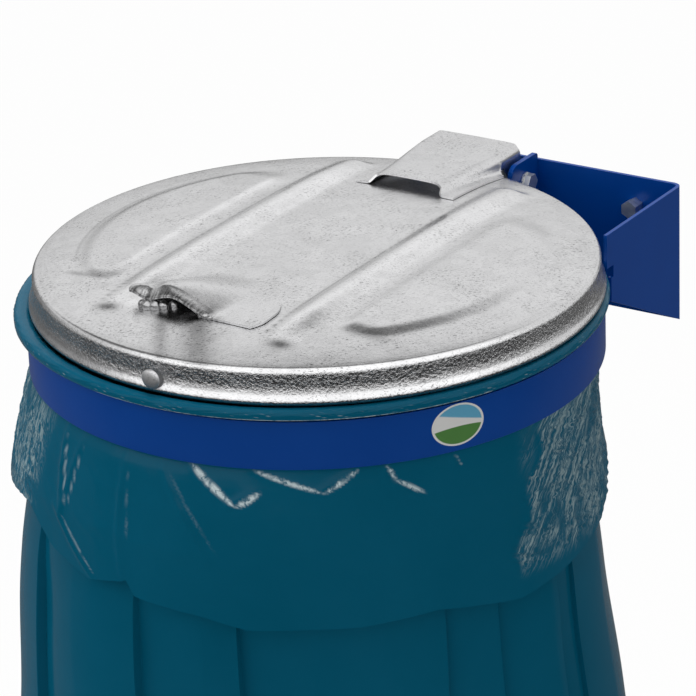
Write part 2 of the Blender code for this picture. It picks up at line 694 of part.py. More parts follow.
def tube(name, group, outer, inner, start, end, finish, axis="X", centre=(0, HINGE_Y, HINGE_Z)):
    """A plain ring or tube along an axis."""
    outline = [(inner, start), (inner, end), (outer, end), (outer, start)]
    place = list(centre)
    place["XYZ".index(axis)] = 0
    item = turned(name, group, outline, place, ROUND_STEPS, axis)
    smooth(item)
    finish_material(item, finish)
    return item


def make_hex_bolt(name, group, cutters, centre, axis, face, direction, length):
    """A hexagon bolt. face is where the head seats, direction points from shank to head."""
    head = sorted((face, face + direction * BOLT_HEAD_HEIGHT))
    bolt = cylinder(name, group, hexagon_radius(BOLT_HEAD_FLATS), head[0], head[1], axis, centre, 6)
    shank = sorted((face + direction * BOLT_HEAD_HEIGHT / 2, face - direction * length))
    pin = cylinder(f"{name}_shank", cutters, BOLT_RADIUS, shank[0], shank[1], axis, centre)
    boolean(bolt, hide_cutter(pin), "UNION")
    smooth(bolt)
    finish_material(bolt, STEEL)
    return bolt


def make_hex_nut(name, group, cutters, centre, axis, start, end):
    """A hexagon nut between two places on the axis."""
    nut = cylinder(name, group, hexagon_radius(BOLT_HEAD_FLATS), start, end, axis, centre, 6)
    bore = cylinder(f"{name}_bore", cutters, HOLE_RADIUS, start - CUT_MARGIN, end + CUT_MARGIN, axis,
                    centre)
    boolean(nut, hide_cutter(bore))
    smooth(nut)
    finish_material(nut, STEEL)
    return nut


def make_hinge_hardware(group, cutters):
    """Bolt, washers, nut, the sleeve between the lugs and the bushes beside them."""
    inner_ear = EAR_OUTER - EAR_THICKNESS
    tube("hinge_sleeve", group, SLEEVE_RADIUS, HOLE_RADIUS, -(LUG_OUTER - LUG_THICKNESS - CLEARANCE),
         LUG_OUTER - LUG_THICKNESS - CLEARANCE, STEEL)
    for side, name in ((-1, "hinge_bush_left"), (1, "hinge_bush_right")):
        low, high = sorted((side * (LUG_OUTER + CLEARANCE), side * (inner_ear - CLEARANCE)))
        tube(name, group, BUSH_RADIUS, HOLE_RADIUS, low, high, NYLON)
    for side, name in ((-1, "hinge_washer_left"), (1, "hinge_washer_right")):
        seat = EAR_OUTER + CLEARANCE
        low, high = sorted((side * seat, side * (seat + WASHER_THICKNESS)))
        tube(name, group, WASHER_RADIUS, HOLE_RADIUS, low, high, STEEL)
    face = EAR_OUTER + CLEARANCE * 2 + WASHER_THICKNESS
    centre = (0, HINGE_Y, HINGE_Z)
    make_hex_bolt("hinge_bolt", group, cutters, centre, "X", face, 1, 2 * face + NUT_HEIGHT + BOLT_POINT)
    make_hex_nut("hinge_nut", group, cutters, centre, "X", -face - NUT_HEIGHT, -face)


def wall_bolt_places():
    """Places (x, z) of the wall bolts: one at the upper right, two near the lower edge."""
    right = PLATE_RIGHT - WALL_BOLT_EDGE_X
    low = PLATE_BOTTOM + WALL_BOLT_BOTTOM_RISE
    return [(right, PLATE_TOP - WALL_BOLT_TOP_DROP), (right, low), (WALL_BOLT_LEFT_X, low)]


def make_wall_bolts(group, cutters):
    """Bolts through the wall plate, each with a nut under its head."""
    for number, (x, z) in enumerate(wall_bolt_places(), 1):
        seat = PLATE_FRONT_Y - CLEARANCE
        nut_front = seat - NUT_HEIGHT
        make_hex_nut(f"wall_nut_{number}", group, cutters, (x, 0, z), "Y", nut_front, seat)
        face = nut_front - CLEARANCE
        make_hex_bolt(f"wall_bolt_{number}", group, cutters, (x, 0, z), "Y", face, -1, -face - CLEARANCE)


def make_rivet_and_buffer(group, cutters):
    """Domed rivet in the skirt, and the rubber block that it holds inside."""
    skin = skirt_outline()[3][0]
    level = RIM_LEVEL + RIVET_LEVEL
    outside = -WALL_REACH - max(skirt_outline())[0] - CLEARANCE
    inside = -WALL_REACH - skin + LID_SHEET + 2 * CLEARANCE
    tail = inside + BUFFER_DEPTH + CLEARANCE
    cap = [(RIVET_HEAD_RADIUS * math.sin(t), outside - RIVET_HEAD_HEIGHT * math.cos(t))
           for t in (math.radians(15 * i) for i in range(7))]
    cap[0] = (0.0, cap[0][1])
    end = tail + RIVET_TAIL_HEIGHT
    outline = [(0.0, end), (RIVET_TAIL_RADIUS, end), (RIVET_TAIL_RADIUS, tail), (RIVET_SHANK_RADIUS, tail),
               (RIVET_SHANK_RADIUS, outside)] + list(reversed(cap))
    rivet = turned("front_rivet", group, outline, (0, 0, level), 16, "Y", closed=False)
    smooth(rivet)
    finish_material(rivet, ZINC)

    shape = bmesh.new()
    bmesh.ops.create_cube(shape, size=1)
    bmesh.ops.scale(shape, vec=(BUFFER_WIDTH, BUFFER_DEPTH, BUFFER_HEIGHT), verts=shape.verts)
    bmesh.ops.translate(shape, vec=(0, inside + BUFFER_DEPTH / 2, level), verts=shape.verts)
    block = object_from_bmesh(shape, "lid_buffer", group)
    edge = block.modifiers.new("edge", "BEVEL")
    edge.width = BUFFER_EDGE
    edge.segments = 2
    hole = cylinder("buffer_hole", cutters, RIVET_SHANK_RADIUS + CLEARANCE, inside - CUT_MARGIN,
                    inside + CUT_MARGIN, "Y", (0, 0, level), 12)
    boolean(block, hide_cutter(hole))
    smooth(block)
    finish_material(block, RUBBER)


def grip_half_width(share):
    """Half width of the grip plate at a share of its depth: rounded corners, narrower behind."""
    corner = GRIP_CORNER_CUT * max(0.0, 1 - share / GRIP_CORNER_SHARE) ** 2
    return GRIP_HALF_WIDTH * (1 - corner - GRIP_NARROWING * fade(share, 0.25, 0.85))


def grip_lift(x, share):
    """Height of the grip plate above the lid: the finger arch and the lifted left tip."""
    middle = (GRIP_ARCH_RIGHT - GRIP_ARCH_LEFT) / 2
    half = (GRIP_ARCH_RIGHT + GRIP_ARCH_LEFT) / 2
    across = min(1.0, abs(x - middle) / half)
    arch = GRIP_ARCH * math.cos(across * math.pi / 2) ** 1.3
    arch *= 1 - fade(share, GRIP_CORNER_SHARE, GRIP_ARCH_REACH - GRIP_CORNER_SHARE)
    tip = GRIP_TIP_LIFT * fade(-x, GRIP_TIP_START, GRIP_TIP_LENGTH) * (1 - fade(share, 0, 0.35))
    return arch + tip


def make_grip(group):
    """The grip plate on the lid, a rounded shield arched at its front edge for the fingers."""
    wide, deep = 20, 9
    shape = bmesh.new()
    bmesh.ops.create_grid(shape, x_segments=wide, y_segments=deep, size=1)
    for vertex in shape.verts:
        share = (vertex.co.y + 1) / 2
        x = GRIP_MIDDLE + grip_half_width(share) * vertex.co.x
        y = GRIP_INSET - LID_RADIUS + GRIP_DEPTH * share
        near = [lid_top(x + dx, y + dy) for dx in (-PRESS_BLEND, 0, PRESS_BLEND) for dy in (-PRESS_BLEND, 0)]
        level = max(near) + CLEARANCE + GRIP_SHEET / 2
        vertex.co = (x, y - WALL_REACH, level + grip_lift(x, share))
    bmesh.ops.recalc_face_normals(shape, faces=shape.faces)
    grip = object_from_bmesh(shape, "lid_handle", group)
    wall = grip.modifiers.new("sheet", "SOLIDIFY")
    wall.thickness = GRIP_SHEET
    wall.offset = 0
    smooth(grip, 50)
    finish_material(grip, ZINC)
    return grip


def main():
    clear_scene()
    group = new_collection(PART_NAME)
    cutters = new_collection(CUTTER_NAME)
    make_bracket(group, cutters)
    make_ears(group, cutters)
    make_rings(group)
    make_sack(group)
    make_lid(group, cutters)
    make_grip(group)
    make_hood(group, cutters)
    make_saddle(group, cutters)
    make_hinge_hardware(group, cutters)
    make_wall_bolts(group, cutters)
    make_rivet_and_buffer(group, cutters)


main()
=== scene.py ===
"""Dressed scene of the wall-mounted bin bag holder.

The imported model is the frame. Each sub-assembly is a class: it takes its place and its sizes from
the frame's nodes, models the finer pieces that stand in front of them, and dresses them.
"""

from __future__ import annotations

import logging
import math
from collections.abc import Callable, Iterator, Sequence
from contextlib import contextmanager
from dataclasses import dataclass
from enum import Enum

import bpy
import numpy as np
from mathutils import Matrix, Vector

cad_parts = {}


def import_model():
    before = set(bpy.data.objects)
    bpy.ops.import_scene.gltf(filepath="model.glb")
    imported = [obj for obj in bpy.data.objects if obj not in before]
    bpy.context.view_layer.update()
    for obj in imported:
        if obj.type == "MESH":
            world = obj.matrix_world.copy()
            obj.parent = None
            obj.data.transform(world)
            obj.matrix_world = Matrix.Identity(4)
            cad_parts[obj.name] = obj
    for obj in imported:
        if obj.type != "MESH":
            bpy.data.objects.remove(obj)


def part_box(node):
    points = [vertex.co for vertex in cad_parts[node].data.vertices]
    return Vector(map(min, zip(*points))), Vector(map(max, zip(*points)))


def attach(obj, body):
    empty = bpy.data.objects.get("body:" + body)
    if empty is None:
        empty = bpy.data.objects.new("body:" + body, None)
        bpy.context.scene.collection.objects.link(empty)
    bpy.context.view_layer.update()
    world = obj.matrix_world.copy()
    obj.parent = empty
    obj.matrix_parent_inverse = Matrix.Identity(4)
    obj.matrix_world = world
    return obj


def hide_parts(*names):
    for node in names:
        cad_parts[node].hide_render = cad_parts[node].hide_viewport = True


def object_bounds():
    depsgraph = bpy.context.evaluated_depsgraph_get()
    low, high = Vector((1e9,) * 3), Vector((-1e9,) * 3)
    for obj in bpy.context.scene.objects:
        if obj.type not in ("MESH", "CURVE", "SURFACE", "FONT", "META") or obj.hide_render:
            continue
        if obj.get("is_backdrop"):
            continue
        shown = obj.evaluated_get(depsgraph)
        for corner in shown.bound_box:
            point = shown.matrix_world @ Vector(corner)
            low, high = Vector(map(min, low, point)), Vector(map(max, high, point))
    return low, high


LOG = logging.getLogger("bin_bag_holder")
MM = 0.001
VIEW_TURN = math.radians(33.2)
UP = Vector((0, 0, 1))
AHEAD = Vector((0, -1, 0))
DOUBLES = 0.000005
LAID_GAP = 0.0003


class Side(Enum):
    """Left and right of the holder, as the user faces the wall."""

    LEFT = -1
    RIGHT = 1


# Small mathematical helpers


def smoothstep(value: np.ndarray, start: float, end: float) -> np.ndarray:
    """Ramp from 0 at start to 1 at end, smooth at both ends."""
    t = np.clip((value - start) / (end - start), 0.0, 1.0)
    return t * t * (3 - 2 * t)


def bump(value: np.ndarray, centre: float, width: float) -> np.ndarray:
    """Bell of height 1 round a centre."""
    return np.exp(-(((value - centre) / width) ** 2))


def slid(amount: np.ndarray | float) -> tuple[np.ndarray | float, np.ndarray | float]:
    """Shift to the left of the photograph, as (x, y)."""
    return -amount * math.cos(VIEW_TURN), -amount * math.sin(VIEW_TURN)


def run_lengths(line: Sequence[tuple[float, float]], stretch: float = 1.0) -> list[float]:
    """Length of a line up to each of its points.

    Args:
        line: The points, as (across, height).
        stretch: Factor on the heights.

    Returns:
        The lengths, from 0 on.
    """
    ways = [0.0]
    for (a, b), (c, d) in zip(line, line[1:]):
        ways.append(ways[-1] + math.hypot(c - a, (d - b) * stretch))
    return ways


# Shader helpers


class Sock:
    """A shader socket that takes part in Python arithmetic by adding Math nodes."""

    def __init__(self, graph: "Graph", socket: bpy.types.NodeSocket) -> None:
        """Wrap one output socket of a graph."""
        self.graph = graph
        self.socket = socket

    def _math(self, operation: str, first: object, second: object) -> "Sock":
        """Join two values with a Math node.

        Args:
            operation: The Math node's operation.
            first: Left value, a number or a Sock.
            second: Right value, a number or a Sock.

        Returns:
            The result's socket.
        """
        return self.graph.node("ShaderNodeMath", {"operation": operation}, {0: first, 1: second})

    def __add__(self, other: object) -> "Sock":
        """Sum."""
        return self._math("ADD", self, other)

    __radd__ = __add__

    def __sub__(self, other: object) -> "Sock":
        """Difference."""
        return self._math("SUBTRACT", self, other)

    def __rsub__(self, other: object) -> "Sock":
        """Difference with the number first."""
        return self._math("SUBTRACT", other, self)

    def __mul__(self, other: object) -> "Sock":
        """Product."""
        return self._math("MULTIPLY", self, other)

    __rmul__ = __mul__


class Graph:
    """Builds the node tree of one material or world."""

    def __init__(self, tree: bpy.types.NodeTree) -> None:
        """Clear the tree and keep it."""
        self.tree = tree
        tree.nodes.clear()

    def node(self, kind: str, settings: dict[str, object] | None = None,
             values: dict[object, object] | None = None, output: object = 0) -> Sock:
        """Add a node.

        Args:
            kind: The node's type name.
            settings: Properties that are set first. A ramp's stops come under "stops".
            values: Numbers, colours or Socks by input name or index.
            output: Name or index of the output that is returned.

        Returns:
            The chosen output.
        """
        made = self.tree.nodes.new(kind)
        for name, value in (settings or {}).items():
            if name == "stops":
                self._stops(made.color_ramp, value)
            else:
                setattr(made, name, value)
        for name, value in (values or {}).items():
            if isinstance(value, Sock):
                self.tree.links.new(value.socket, made.inputs[name])
            else:
                made.inputs[name].default_value = value
        return Sock(self, made.outputs[output])

    @staticmethod
    def _stops(ramp: bpy.types.ColorRamp, stops: Sequence[tuple[float, float]]) -> None:
        """Set a ramp's grey stops.

        Args:
            ramp: The ramp.
            stops: Stops as (place, level).
        """
        while len(ramp.elements) < len(stops):
            ramp.elements.new(1.0)
        for element, (place, level) in zip(ramp.elements, stops):
            element.position = place
            element.color = (level, level, level, 1.0)

    def place(self, scale: Sequence[float] = (1, 1, 1), turn: Sequence[float] = (0, 0, 0)) -> Sock:
        """Object coordinates, turned and then scaled.

        Args:
            scale: Scale along each axis.
            turn: Rotation in radians.

        Returns:
            The mapped vector.
        """
        source = self.node("ShaderNodeTexCoord", output="Object")
        if any(turn):
            source = self.node("ShaderNodeMapping", {}, {"Vector": source, "Rotation": turn})
        return self.node("ShaderNodeMapping", {}, {"Vector": source, "Scale": scale})

    def attribute(self, name: str) -> Sock:
        """Number that a piece keeps for each vertex."""
        return self.node("ShaderNodeAttribute", {"attribute_name": name}, output="Fac")

    def rays(self, kind: str) -> Sock:
        """1 for rays of this kind, else 0."""
        return self.node("ShaderNodeLightPath", output=f"Is {kind} Ray")

    def dot(self, vector: Sock, way: Vector) -> Sock:
        """How far a vector reaches along a way."""
        return self.node("ShaderNodeVectorMath", {"operation": "DOT_PRODUCT"},
                         {0: vector, 1: tuple(way)}, "Value")

    def noise(self, vector: Sock, scale: float, detail: float = 3.0, rough: float = 0.5,
              distortion: float = 0.0) -> Sock:
        """Noise pattern between 0 and 1."""
        return self.node("ShaderNodeTexNoise", {}, {"Vector": vector, "Scale": scale, "Detail": detail,
                                                   "Roughness": rough, "Distortion": distortion})

    def ramp(self, value: Sock, *stops: tuple[float, float]) -> Sock:
        """Grey ramp of a value."""
        return self.node("ShaderNodeValToRGB", {"stops": stops}, {"Fac": value})

    def mix(self, factor: object, first: object, second: object) -> Sock:
        """Mix of two colours."""
        return self.node("ShaderNodeMix", {"data_type": "RGBA"}, {0: factor, 6: first, 7: second}, 2)

    def bump(self, height: Sock, strength: float, distance: float, normal: Sock | None = None) -> Sock:
        """Bump from a height, on top of another normal if one is given."""
        values: dict[object, object] = {"Height": height, "Strength": strength, "Distance": distance}
        if normal is not None:
            values["Normal"] = normal
        return self.node("ShaderNodeBump", {}, values)

    def shade(self, values: dict[object, object]) -> None:
        """Finish the tree with a Principled shader that takes these values."""
        shader = self.node("ShaderNodeBsdfPrincipled", {}, values)
        self.finish("ShaderNodeOutputMaterial", shader)

    def finish(self, kind: str, shader: Sock) -> None:
        """Link a shader to an output node of this kind."""
        made = self.tree.nodes.new(kind)
        self.tree.links.new(shader.socket, made.inputs["Surface"])


# Modelling helpers


def select_none() -> None:
    """Leave object mode's selection empty, so that operators act on new pieces alone."""
    if bpy.context.object is not None and bpy.context.object.mode != "OBJECT":
        bpy.ops.object.mode_set(mode="OBJECT")
    bpy.ops.object.select_all(action="DESELECT")


def name_new(name: str) -> bpy.types.Object:
    """Name the piece that was just added, and its mesh."""
    made = bpy.context.object
    made.name = name
    made.data.name = name
    return made


def select_only(piece: bpy.types.Object) -> None:
    """Select one piece and make it active."""
    select_none()
    piece.select_set(True)
    bpy.context.view_layer.objects.active = piece


@contextmanager
def editing() -> Iterator[None]:
    """Edit the active piece, with all of it selected at the start."""
    bpy.ops.object.mode_set(mode="EDIT")
    bpy.ops.mesh.select_all(action="SELECT")
    yield
    bpy.ops.object.mode_set(mode="OBJECT")


def read_places(piece: bpy.types.Object) -> np.ndarray:
    """Places of a piece's vertices, as an (n, 3) array."""
    flat = np.empty(len(piece.data.vertices) * 3, dtype=np.float32)
    piece.data.vertices.foreach_get("co", flat)
    return flat.reshape(-1, 3).astype(float)


def write_places(piece: bpy.types.Object, places: np.ndarray) -> None:
    """Move a piece's vertices to these places."""
    piece.data.vertices.foreach_set("co", places.astype(np.float32).ravel())
    piece.data.update()


def apply_modifiers(piece: bpy.types.Object) -> None:
    """Apply every modifier of a piece."""
    select_only(piece)
    for modifier in list(piece.modifiers):
        bpy.ops.object.modifier_apply(modifier=modifier.name)


def smooth(piece: bpy.types.Object, degrees: float = 40.0) -> None:
    """Shade a piece smooth, apart from edges sharper than the angle."""
    select_only(piece)
    bpy.ops.object.shade_smooth_by_angle(angle=math.radians(degrees))


def turned(name: str, profile: Sequence[tuple[float, float]], centre: Vector, axis: Vector,
           out: Vector, steps: int) -> bpy.types.Object:
    """Spin a profile round an axis.

    Args:
        name: Name of the piece.
        profile: Points as (radius, height along the axis).
        centre: Point on the axis at height 0.
        axis: Unit vector of the axis.
        out: Unit vector across the axis, along which the profile is drawn.
        steps: Faces round the piece.

    Returns:
        The piece, with its place in its mesh.
    """
    points = [centre + out * radius + axis * height for radius, height in profile]
    select_none()
    bpy.ops.mesh.primitive_plane_add(size=MM, location=(0, 0, 0))
    piece = name_new(name)
    with editing():
        bpy.ops.mesh.merge(type="CENTER")
        bpy.ops.transform.translate(value=points[0])
        for start, end in zip(points, points[1:]):
            bpy.ops.mesh.extrude_region_move(TRANSFORM_OT_translate={"value": end - start})
        bpy.ops.mesh.select_all(action="SELECT")
        bpy.ops.mesh.spin(steps=steps, angle=2 * math.pi, center=centre, axis=axis)
        bpy.ops.mesh.select_all(action="SELECT")
        bpy.ops.mesh.remove_doubles(threshold=DOUBLES)
        bpy.ops.mesh.normals_make_consistent(inside=False)
    return piece


def draped(name: str, columns: int, rows: int, form: Callable[[np.ndarray, np.ndarray], np.ndarray],
           merge: bool = True) -> bpy.types.Object:
    """Lay a fine grid over a form.

    Args:
        name: Name of the piece.
        columns: Faces along the form's first direction.
        rows: Faces along its second direction.
        form: Gives points, an (n, 3) array, for places between 0 and 1 in both directions.
        merge: Join the two side edges, for a form that closes on itself.

    Returns:
        The piece, with the grid's own UV map.
    """
    select_none()
    bpy.ops.mesh.primitive_grid_add(x_subdivisions=columns, y_subdivisions=rows, size=2)
    piece = name_new(name)
    flat = read_places(piece)
    write_places(piece, form((flat[:, 0] + 1) / 2, (flat[:, 1] + 1) / 2))
    with editing():
        if merge:
            bpy.ops.mesh.remove_doubles(threshold=DOUBLES)
        bpy.ops.mesh.normals_make_consistent(inside=False)
    return piece


def paint_values(piece: bpy.types.Object, name: str, values: np.ndarray) -> None:
    """Store one number for each vertex of a piece, for its shader."""
    layer = piece.data.attributes.new(name, "FLOAT", "POINT")
    layer.data.foreach_set("value", values.astype(np.float32))


def solid_sheet(piece: bpy.types.Object, thickness: float, offset: float = 0.0) -> None:
    """Give an open surface its wall.

    Args:
        piece: The surface.
        thickness: Thickness of the wall.
        offset: 0 for a wall to both sides, -1 for one behind the faces.
    """
    wall = piece.modifiers.new("sheet", "SOLIDIFY")
    wall.thickness = thickness
    wall.offset = offset
    wall.use_even_offset = True
    apply_modifiers(piece)


def arc(centre: tuple[float, float], radius: float, start: float, end: float,
        steps: int) -> list[tuple[float, float]]:
    """Points on an arc between two angles in degrees, both ends included."""
    turns = [math.radians(start + (end - start) * i / steps) for i in range(steps + 1)]
    return [(centre[0] + radius * math.cos(t), centre[1] + radius * math.sin(t)) for t in turns]


def smooth_line(points: Sequence[tuple[float, float]], per_span: int = 6) -> list[tuple[float, float]]:
    """Pass a smooth line through points.

    Args:
        points: The points to pass through.
        per_span: Pieces between one point and the next.

    Returns:
        The finer line.
    """
    p = [Vector(point) for point in points]
    p = [2 * p[0] - p[1], *p, 2 * p[-1] - p[-2]]
    line = []
    for a, b, c, d in zip(p, p[1:], p[2:], p[3:]):
        for i in range(per_span):
            t = i / per_span
            line.append(tuple(0.5 * (2 * b + (c - a) * t + (2 * a - 5 * b + 4 * c - d) * t * t
                                     + (3 * b - a - 3 * c + d) * t ** 3)))
    return [*line, tuple(p[-2])]


def ripple(turn: np.ndarray, along: np.ndarray, seed: int, count: int, spread: float,
           slope: float = 0.0) -> np.ndarray:
    """Sum of gentle waves that close on themselves round a ring.

    Args:
        turn: Angle round the ring, in radians.
        along: Place down the film, in any even unit.
        seed: Seed of the waves' phases.
        count: Number of waves.
        spread: Mean waves round the ring.
        slope: How much the waves lean, in radians for each unit of along.

    Returns:
        Values of about -1 to 1.
    """
    random = np.random.default_rng(seed)
    total = np.zeros_like(turn)
    for _ in range(count):
        waves = max(1, round(spread * random.uniform(0.5, 1.6)))
        lean = slope * random.uniform(-1, 1)
        total += np.cos(waves * turn + lean * waves * along + random.uniform(0, 2 * math.pi))
    return total / math.sqrt(count)


# Finishes


@dataclass(frozen=True)
class Galvanised:
    """Hot-dip zinc on sheet: bright, faintly spangled, with random streaks and handling marks, and
    painted shade, highlights and reflections where a piece stores them.
    """

    name: str
    colour: float = 0.66
    roughness: float = 0.22
    grain: float = 1.0

    def material(self) -> bpy.types.Material:
        """Build the finish.

        Returns:
            The material.
        """
        made, graph = new_material(self.name)
        place = graph.place()
        spangle = graph.node("ShaderNodeTexVoronoi", {"feature": "F1"},
                             {"Vector": place, "Scale": 95.0 * self.grain}, "Color")
        grey = graph.node("ShaderNodeRGBToBW", {}, {"Color": spangle})
        cloud = graph.noise(place, 16.0, 5.0, 0.6, 0.4)
        streak = graph.noise(graph.place((260, 14, 60), (0, 0, 0.12)), 1.0, 4.0, 0.6)
        scratch = graph.noise(graph.place((1100, 400, 1100), (0, 0, 0.9)), 1.0, 3.0, 0.65, 0.6)
        where = graph.ramp(graph.noise(place, 26.0, 3.0, 0.6), (0.42, 0.0), (0.62, 1.0))
        speck = graph.ramp(scratch, (0.56, 0.0), (0.64, 1.0)) * (0.30 + where * 0.70)
        tone = 0.735 + (cloud - 0.5) * 0.30 + (grey - 0.5) * 0.09 + (streak - 0.5) * 0.12 - speck * 0.62
        # Painted shade and painted highlights stored on the piece darken and lighten the zinc.
        tone = tone - graph.attribute("painted_shade_and_highlight") * 0.65
        dark, light = self.colour * 0.12, self.colour * 1.35
        colour = graph.mix(tone, (dark, dark, dark * 1.02, 1), (light, light, light * 1.01, 1))
        rough = self.roughness + (cloud - 0.5) * 0.22 + (streak - 0.5) * 0.14 + speck * 0.10
        height = graph.noise(place, 34.0, 3.0, 0.55) * 0.8 + graph.noise(place, 190.0, 3.0, 0.6) * 0.2
        grit = graph.noise(place, 420.0, 3.0, 0.75, 0.5) * (0.10 + graph.attribute("grain"))
        normal = graph.bump(grit, 1.0, 0.0009, graph.bump(height + streak * 0.05, 0.35, 0.0012))
        graph.shade({"Base Color": colour, "Metallic": 1.0, "Roughness": rough, "Normal": normal})
        return made


@dataclass(frozen=True)
class Paint:
    """Powder coat: even colour with a faint orange peel."""

    name: str
    colour: tuple[float, float, float, float] = (0.0, 0.057, 0.315, 1.0)
    roughness: float = 0.30

    def material(self) -> bpy.types.Material:
        """Build the finish.

        Returns:
            The material.
        """
        made, graph = new_material(self.name)
        place = graph.place()
        cloud = graph.noise(place, 22.0, 4.0, 0.6)
        peel = graph.noise(place, 520.0, 2.0, 0.5)
        r, g, b, a = self.colour
        colour = graph.mix(cloud, (r, g * 0.9, b * 0.92, a), (r, g * 1.1, b * 1.08, a))
        normal = graph.bump(peel, 0.12, 0.0003)
        graph.shade({"Base Color": colour, "Roughness": self.roughness + (cloud - 0.5) * 0.10,
                     "Normal": normal, "Specular IOR Level": 0.18})
        return made


@dataclass(frozen=True)
class Plated:
    """Zinc-plated bolts and nuts, lightly scuffed."""

    name: str
    roughness: float = 0.42

    def material(self) -> bpy.types.Material:
        """Build the finish.

        Returns:
            The material.
        """
        made, graph = new_material(self.name)
        place = graph.place()
        cloud = graph.noise(place, 180.0, 4.0, 0.6)
        scuff = graph.noise(graph.place((900, 900, 120)), 1.0, 3.0, 0.6)
        colour = graph.mix(cloud, (0.62, 0.63, 0.62, 1), (0.90, 0.91, 0.90, 1))
        normal = graph.bump(scuff, 0.2, 0.0002)
        graph.shade({"Base Color": colour, "Metallic": 1.0,
                     "Roughness": self.roughness + (cloud - 0.5) * 0.2, "Normal": normal})
        return made


@dataclass(frozen=True)
class Film:
    """Soft coloured polythene film, crinkled where it has been gathered, with a painted grey sheen in
    streaks over the crinkles.
    """

    name: str
    colour: tuple[float, float, float, float] = (0.0, 0.108, 0.188, 1.0)
    crinkle_and_sheen: tuple[float, float, float, float] = (0.38, 0.50, 0.52, 1.0)
    crinkle: float = 1.0

    def material(self) -> bpy.types.Material:
        """Build the finish.

        Returns:
            The material.
        """
        made, graph = new_material(self.name)
        place = graph.place()
        cloud = graph.noise(place, 9.0, 4.0, 0.6)
        fibre = graph.noise(graph.place((90, 90, 22)), 1.0, 5.0, 0.62, 0.6)
        streak = graph.noise(graph.place((300, 300, 34), (0.7, 0, 0)), 1.0, 5.0, 0.7, 1.2)
        crinkle_and_sheen_level = graph.attribute("crinkle_and_sheen")
        patch = graph.ramp(graph.noise(place, 26.0, 3.0, 0.55, 0.9), (0.38, 0.08), (0.50, 1.0))
        # Painted grey sheen in streaks where the film is crinkled; the same level also roughens and
        # bumps it.
        painted_sheen_streaks = graph.ramp(streak, (0.47, 0.0), (0.58, 1.0)) * crinkle_and_sheen_level * patch
        glint = graph.attribute("glint")
        glint = glint * graph.ramp(graph.noise(place, 210.0, 3.0, 0.6, 0.8), (0.36, 0.15), (0.50, 1.0))
        glint = glint * graph.ramp(graph.noise(place, 75.0, 3.0, 0.6, 0.5), (0.36, 0.25), (0.50, 1.0))
        r, g, b, a = self.colour
        colour = graph.mix(cloud, (r, g * 0.88, b * 0.88, a), (r + 0.004, g * 1.1, b * 1.1, a))
        colour = graph.mix(painted_sheen_streaks * 0.80 + crinkle_and_sheen_level * 0.02, colour, self.crinkle_and_sheen)
        colour = graph.mix(glint, colour, (0.80, 0.92, 0.94, 1))
        waves = fibre * 0.7 + graph.noise(place, 30.0, 3.0, 0.5) * 0.4
        soft = graph.bump(waves, 0.22 * self.crinkle, 0.0016)
        normal = graph.bump(streak * crinkle_and_sheen_level, 0.8, 0.0012, soft)
        rough = 0.13 + (cloud - 0.5) * 0.08 + crinkle_and_sheen_level * 0.16
        graph.shade({"Base Color": colour, "Roughness": rough, "Normal": normal,
                     "Specular IOR Level": 0.08})
        return made


@dataclass(frozen=True)
class Plain:
    """Black rubber or nylon with a fine grain."""

    name: str
    level: float = 0.02
    roughness: float = 0.65

    def material(self) -> bpy.types.Material:
        """Build the finish.

        Returns:
            The material.
        """
        made, graph = new_material(self.name)
        grain = graph.noise(graph.place(), 700.0, 2.0, 0.5)
        low, high = self.level * 0.8, self.level * 1.25
        colour = graph.mix(grain, (low, low, low, 1), (high, high, high, 1))
        graph.shade({"Base Color": colour, "Roughness": self.roughness + (grain - 0.5) * 0.1,
                     "Normal": graph.bump(grain, 0.2, 0.0002)})
        return made


def new_material(name: str) -> tuple[bpy.types.Material, Graph]:
    """Make an empty material.

    Args:
        name: Name of the material.

    Returns:
        The material and the builder of its nodes.
    """
    made = bpy.data.materials.new(name)
    made.use_nodes = True
    return made, Graph(made.node_tree)


def dress(piece: bpy.types.Object, material: bpy.types.Material) -> None:
    """Give a piece one material."""
    piece.data.materials.clear()
    piece.data.materials.append(material)


def dress_node(name: str, material: bpy.types.Material) -> None:
    """Put a finish in the material slots of a node of the frame."""
    node = bpy.data.objects[name]
    for slot in node.material_slots:
        slot.material = material


# Sub-assemblies


@dataclass
class Assembly:
    """What every sub-assembly has: the lid's middle, the level of its lower edge, and a body."""

    centre: Vector
    rim: float
    body: str

    def add(self, piece: bpy.types.Object, material: bpy.types.Material, *nodes: str,
            slot: str | None = None) -> None:
        """Dress a piece, let it ride on the body and hide the nodes that it stands for.

        Args:
            piece: The finished piece.
            material: Its finish.
            nodes: Nodes of the frame that it replaces.
            slot: Not used.
        """
        dress(piece, material)
        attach(piece, self.body)
        if nodes:
            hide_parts(*nodes)
        LOG.info("%s: %d faces", piece.name, len(piece.data.polygons))

    def at(self, x: float, y: float, z: float) -> Vector:
        """Point given from the middle of the lid's lower edge."""
        return Vector((self.centre.x + x, self.centre.y + y, self.rim + z))

    def points(self, x: np.ndarray, y: np.ndarray, z: np.ndarray) -> np.ndarray:
        """Points given in the same way, as an (n, 3) array."""
        return np.stack([self.centre.x + x, self.centre.y + y, self.rim + z], axis=1)

    def local(self, piece: bpy.types.Object) -> tuple[np.ndarray, np.ndarray, np.ndarray]:
        """Places of a piece's vertices, from the middle of the lid's lower edge."""
        place = read_places(piece)
        return place[:, 0] - self.centre.x, place[:, 1] - self.centre.y, place[:, 2] - self.rim


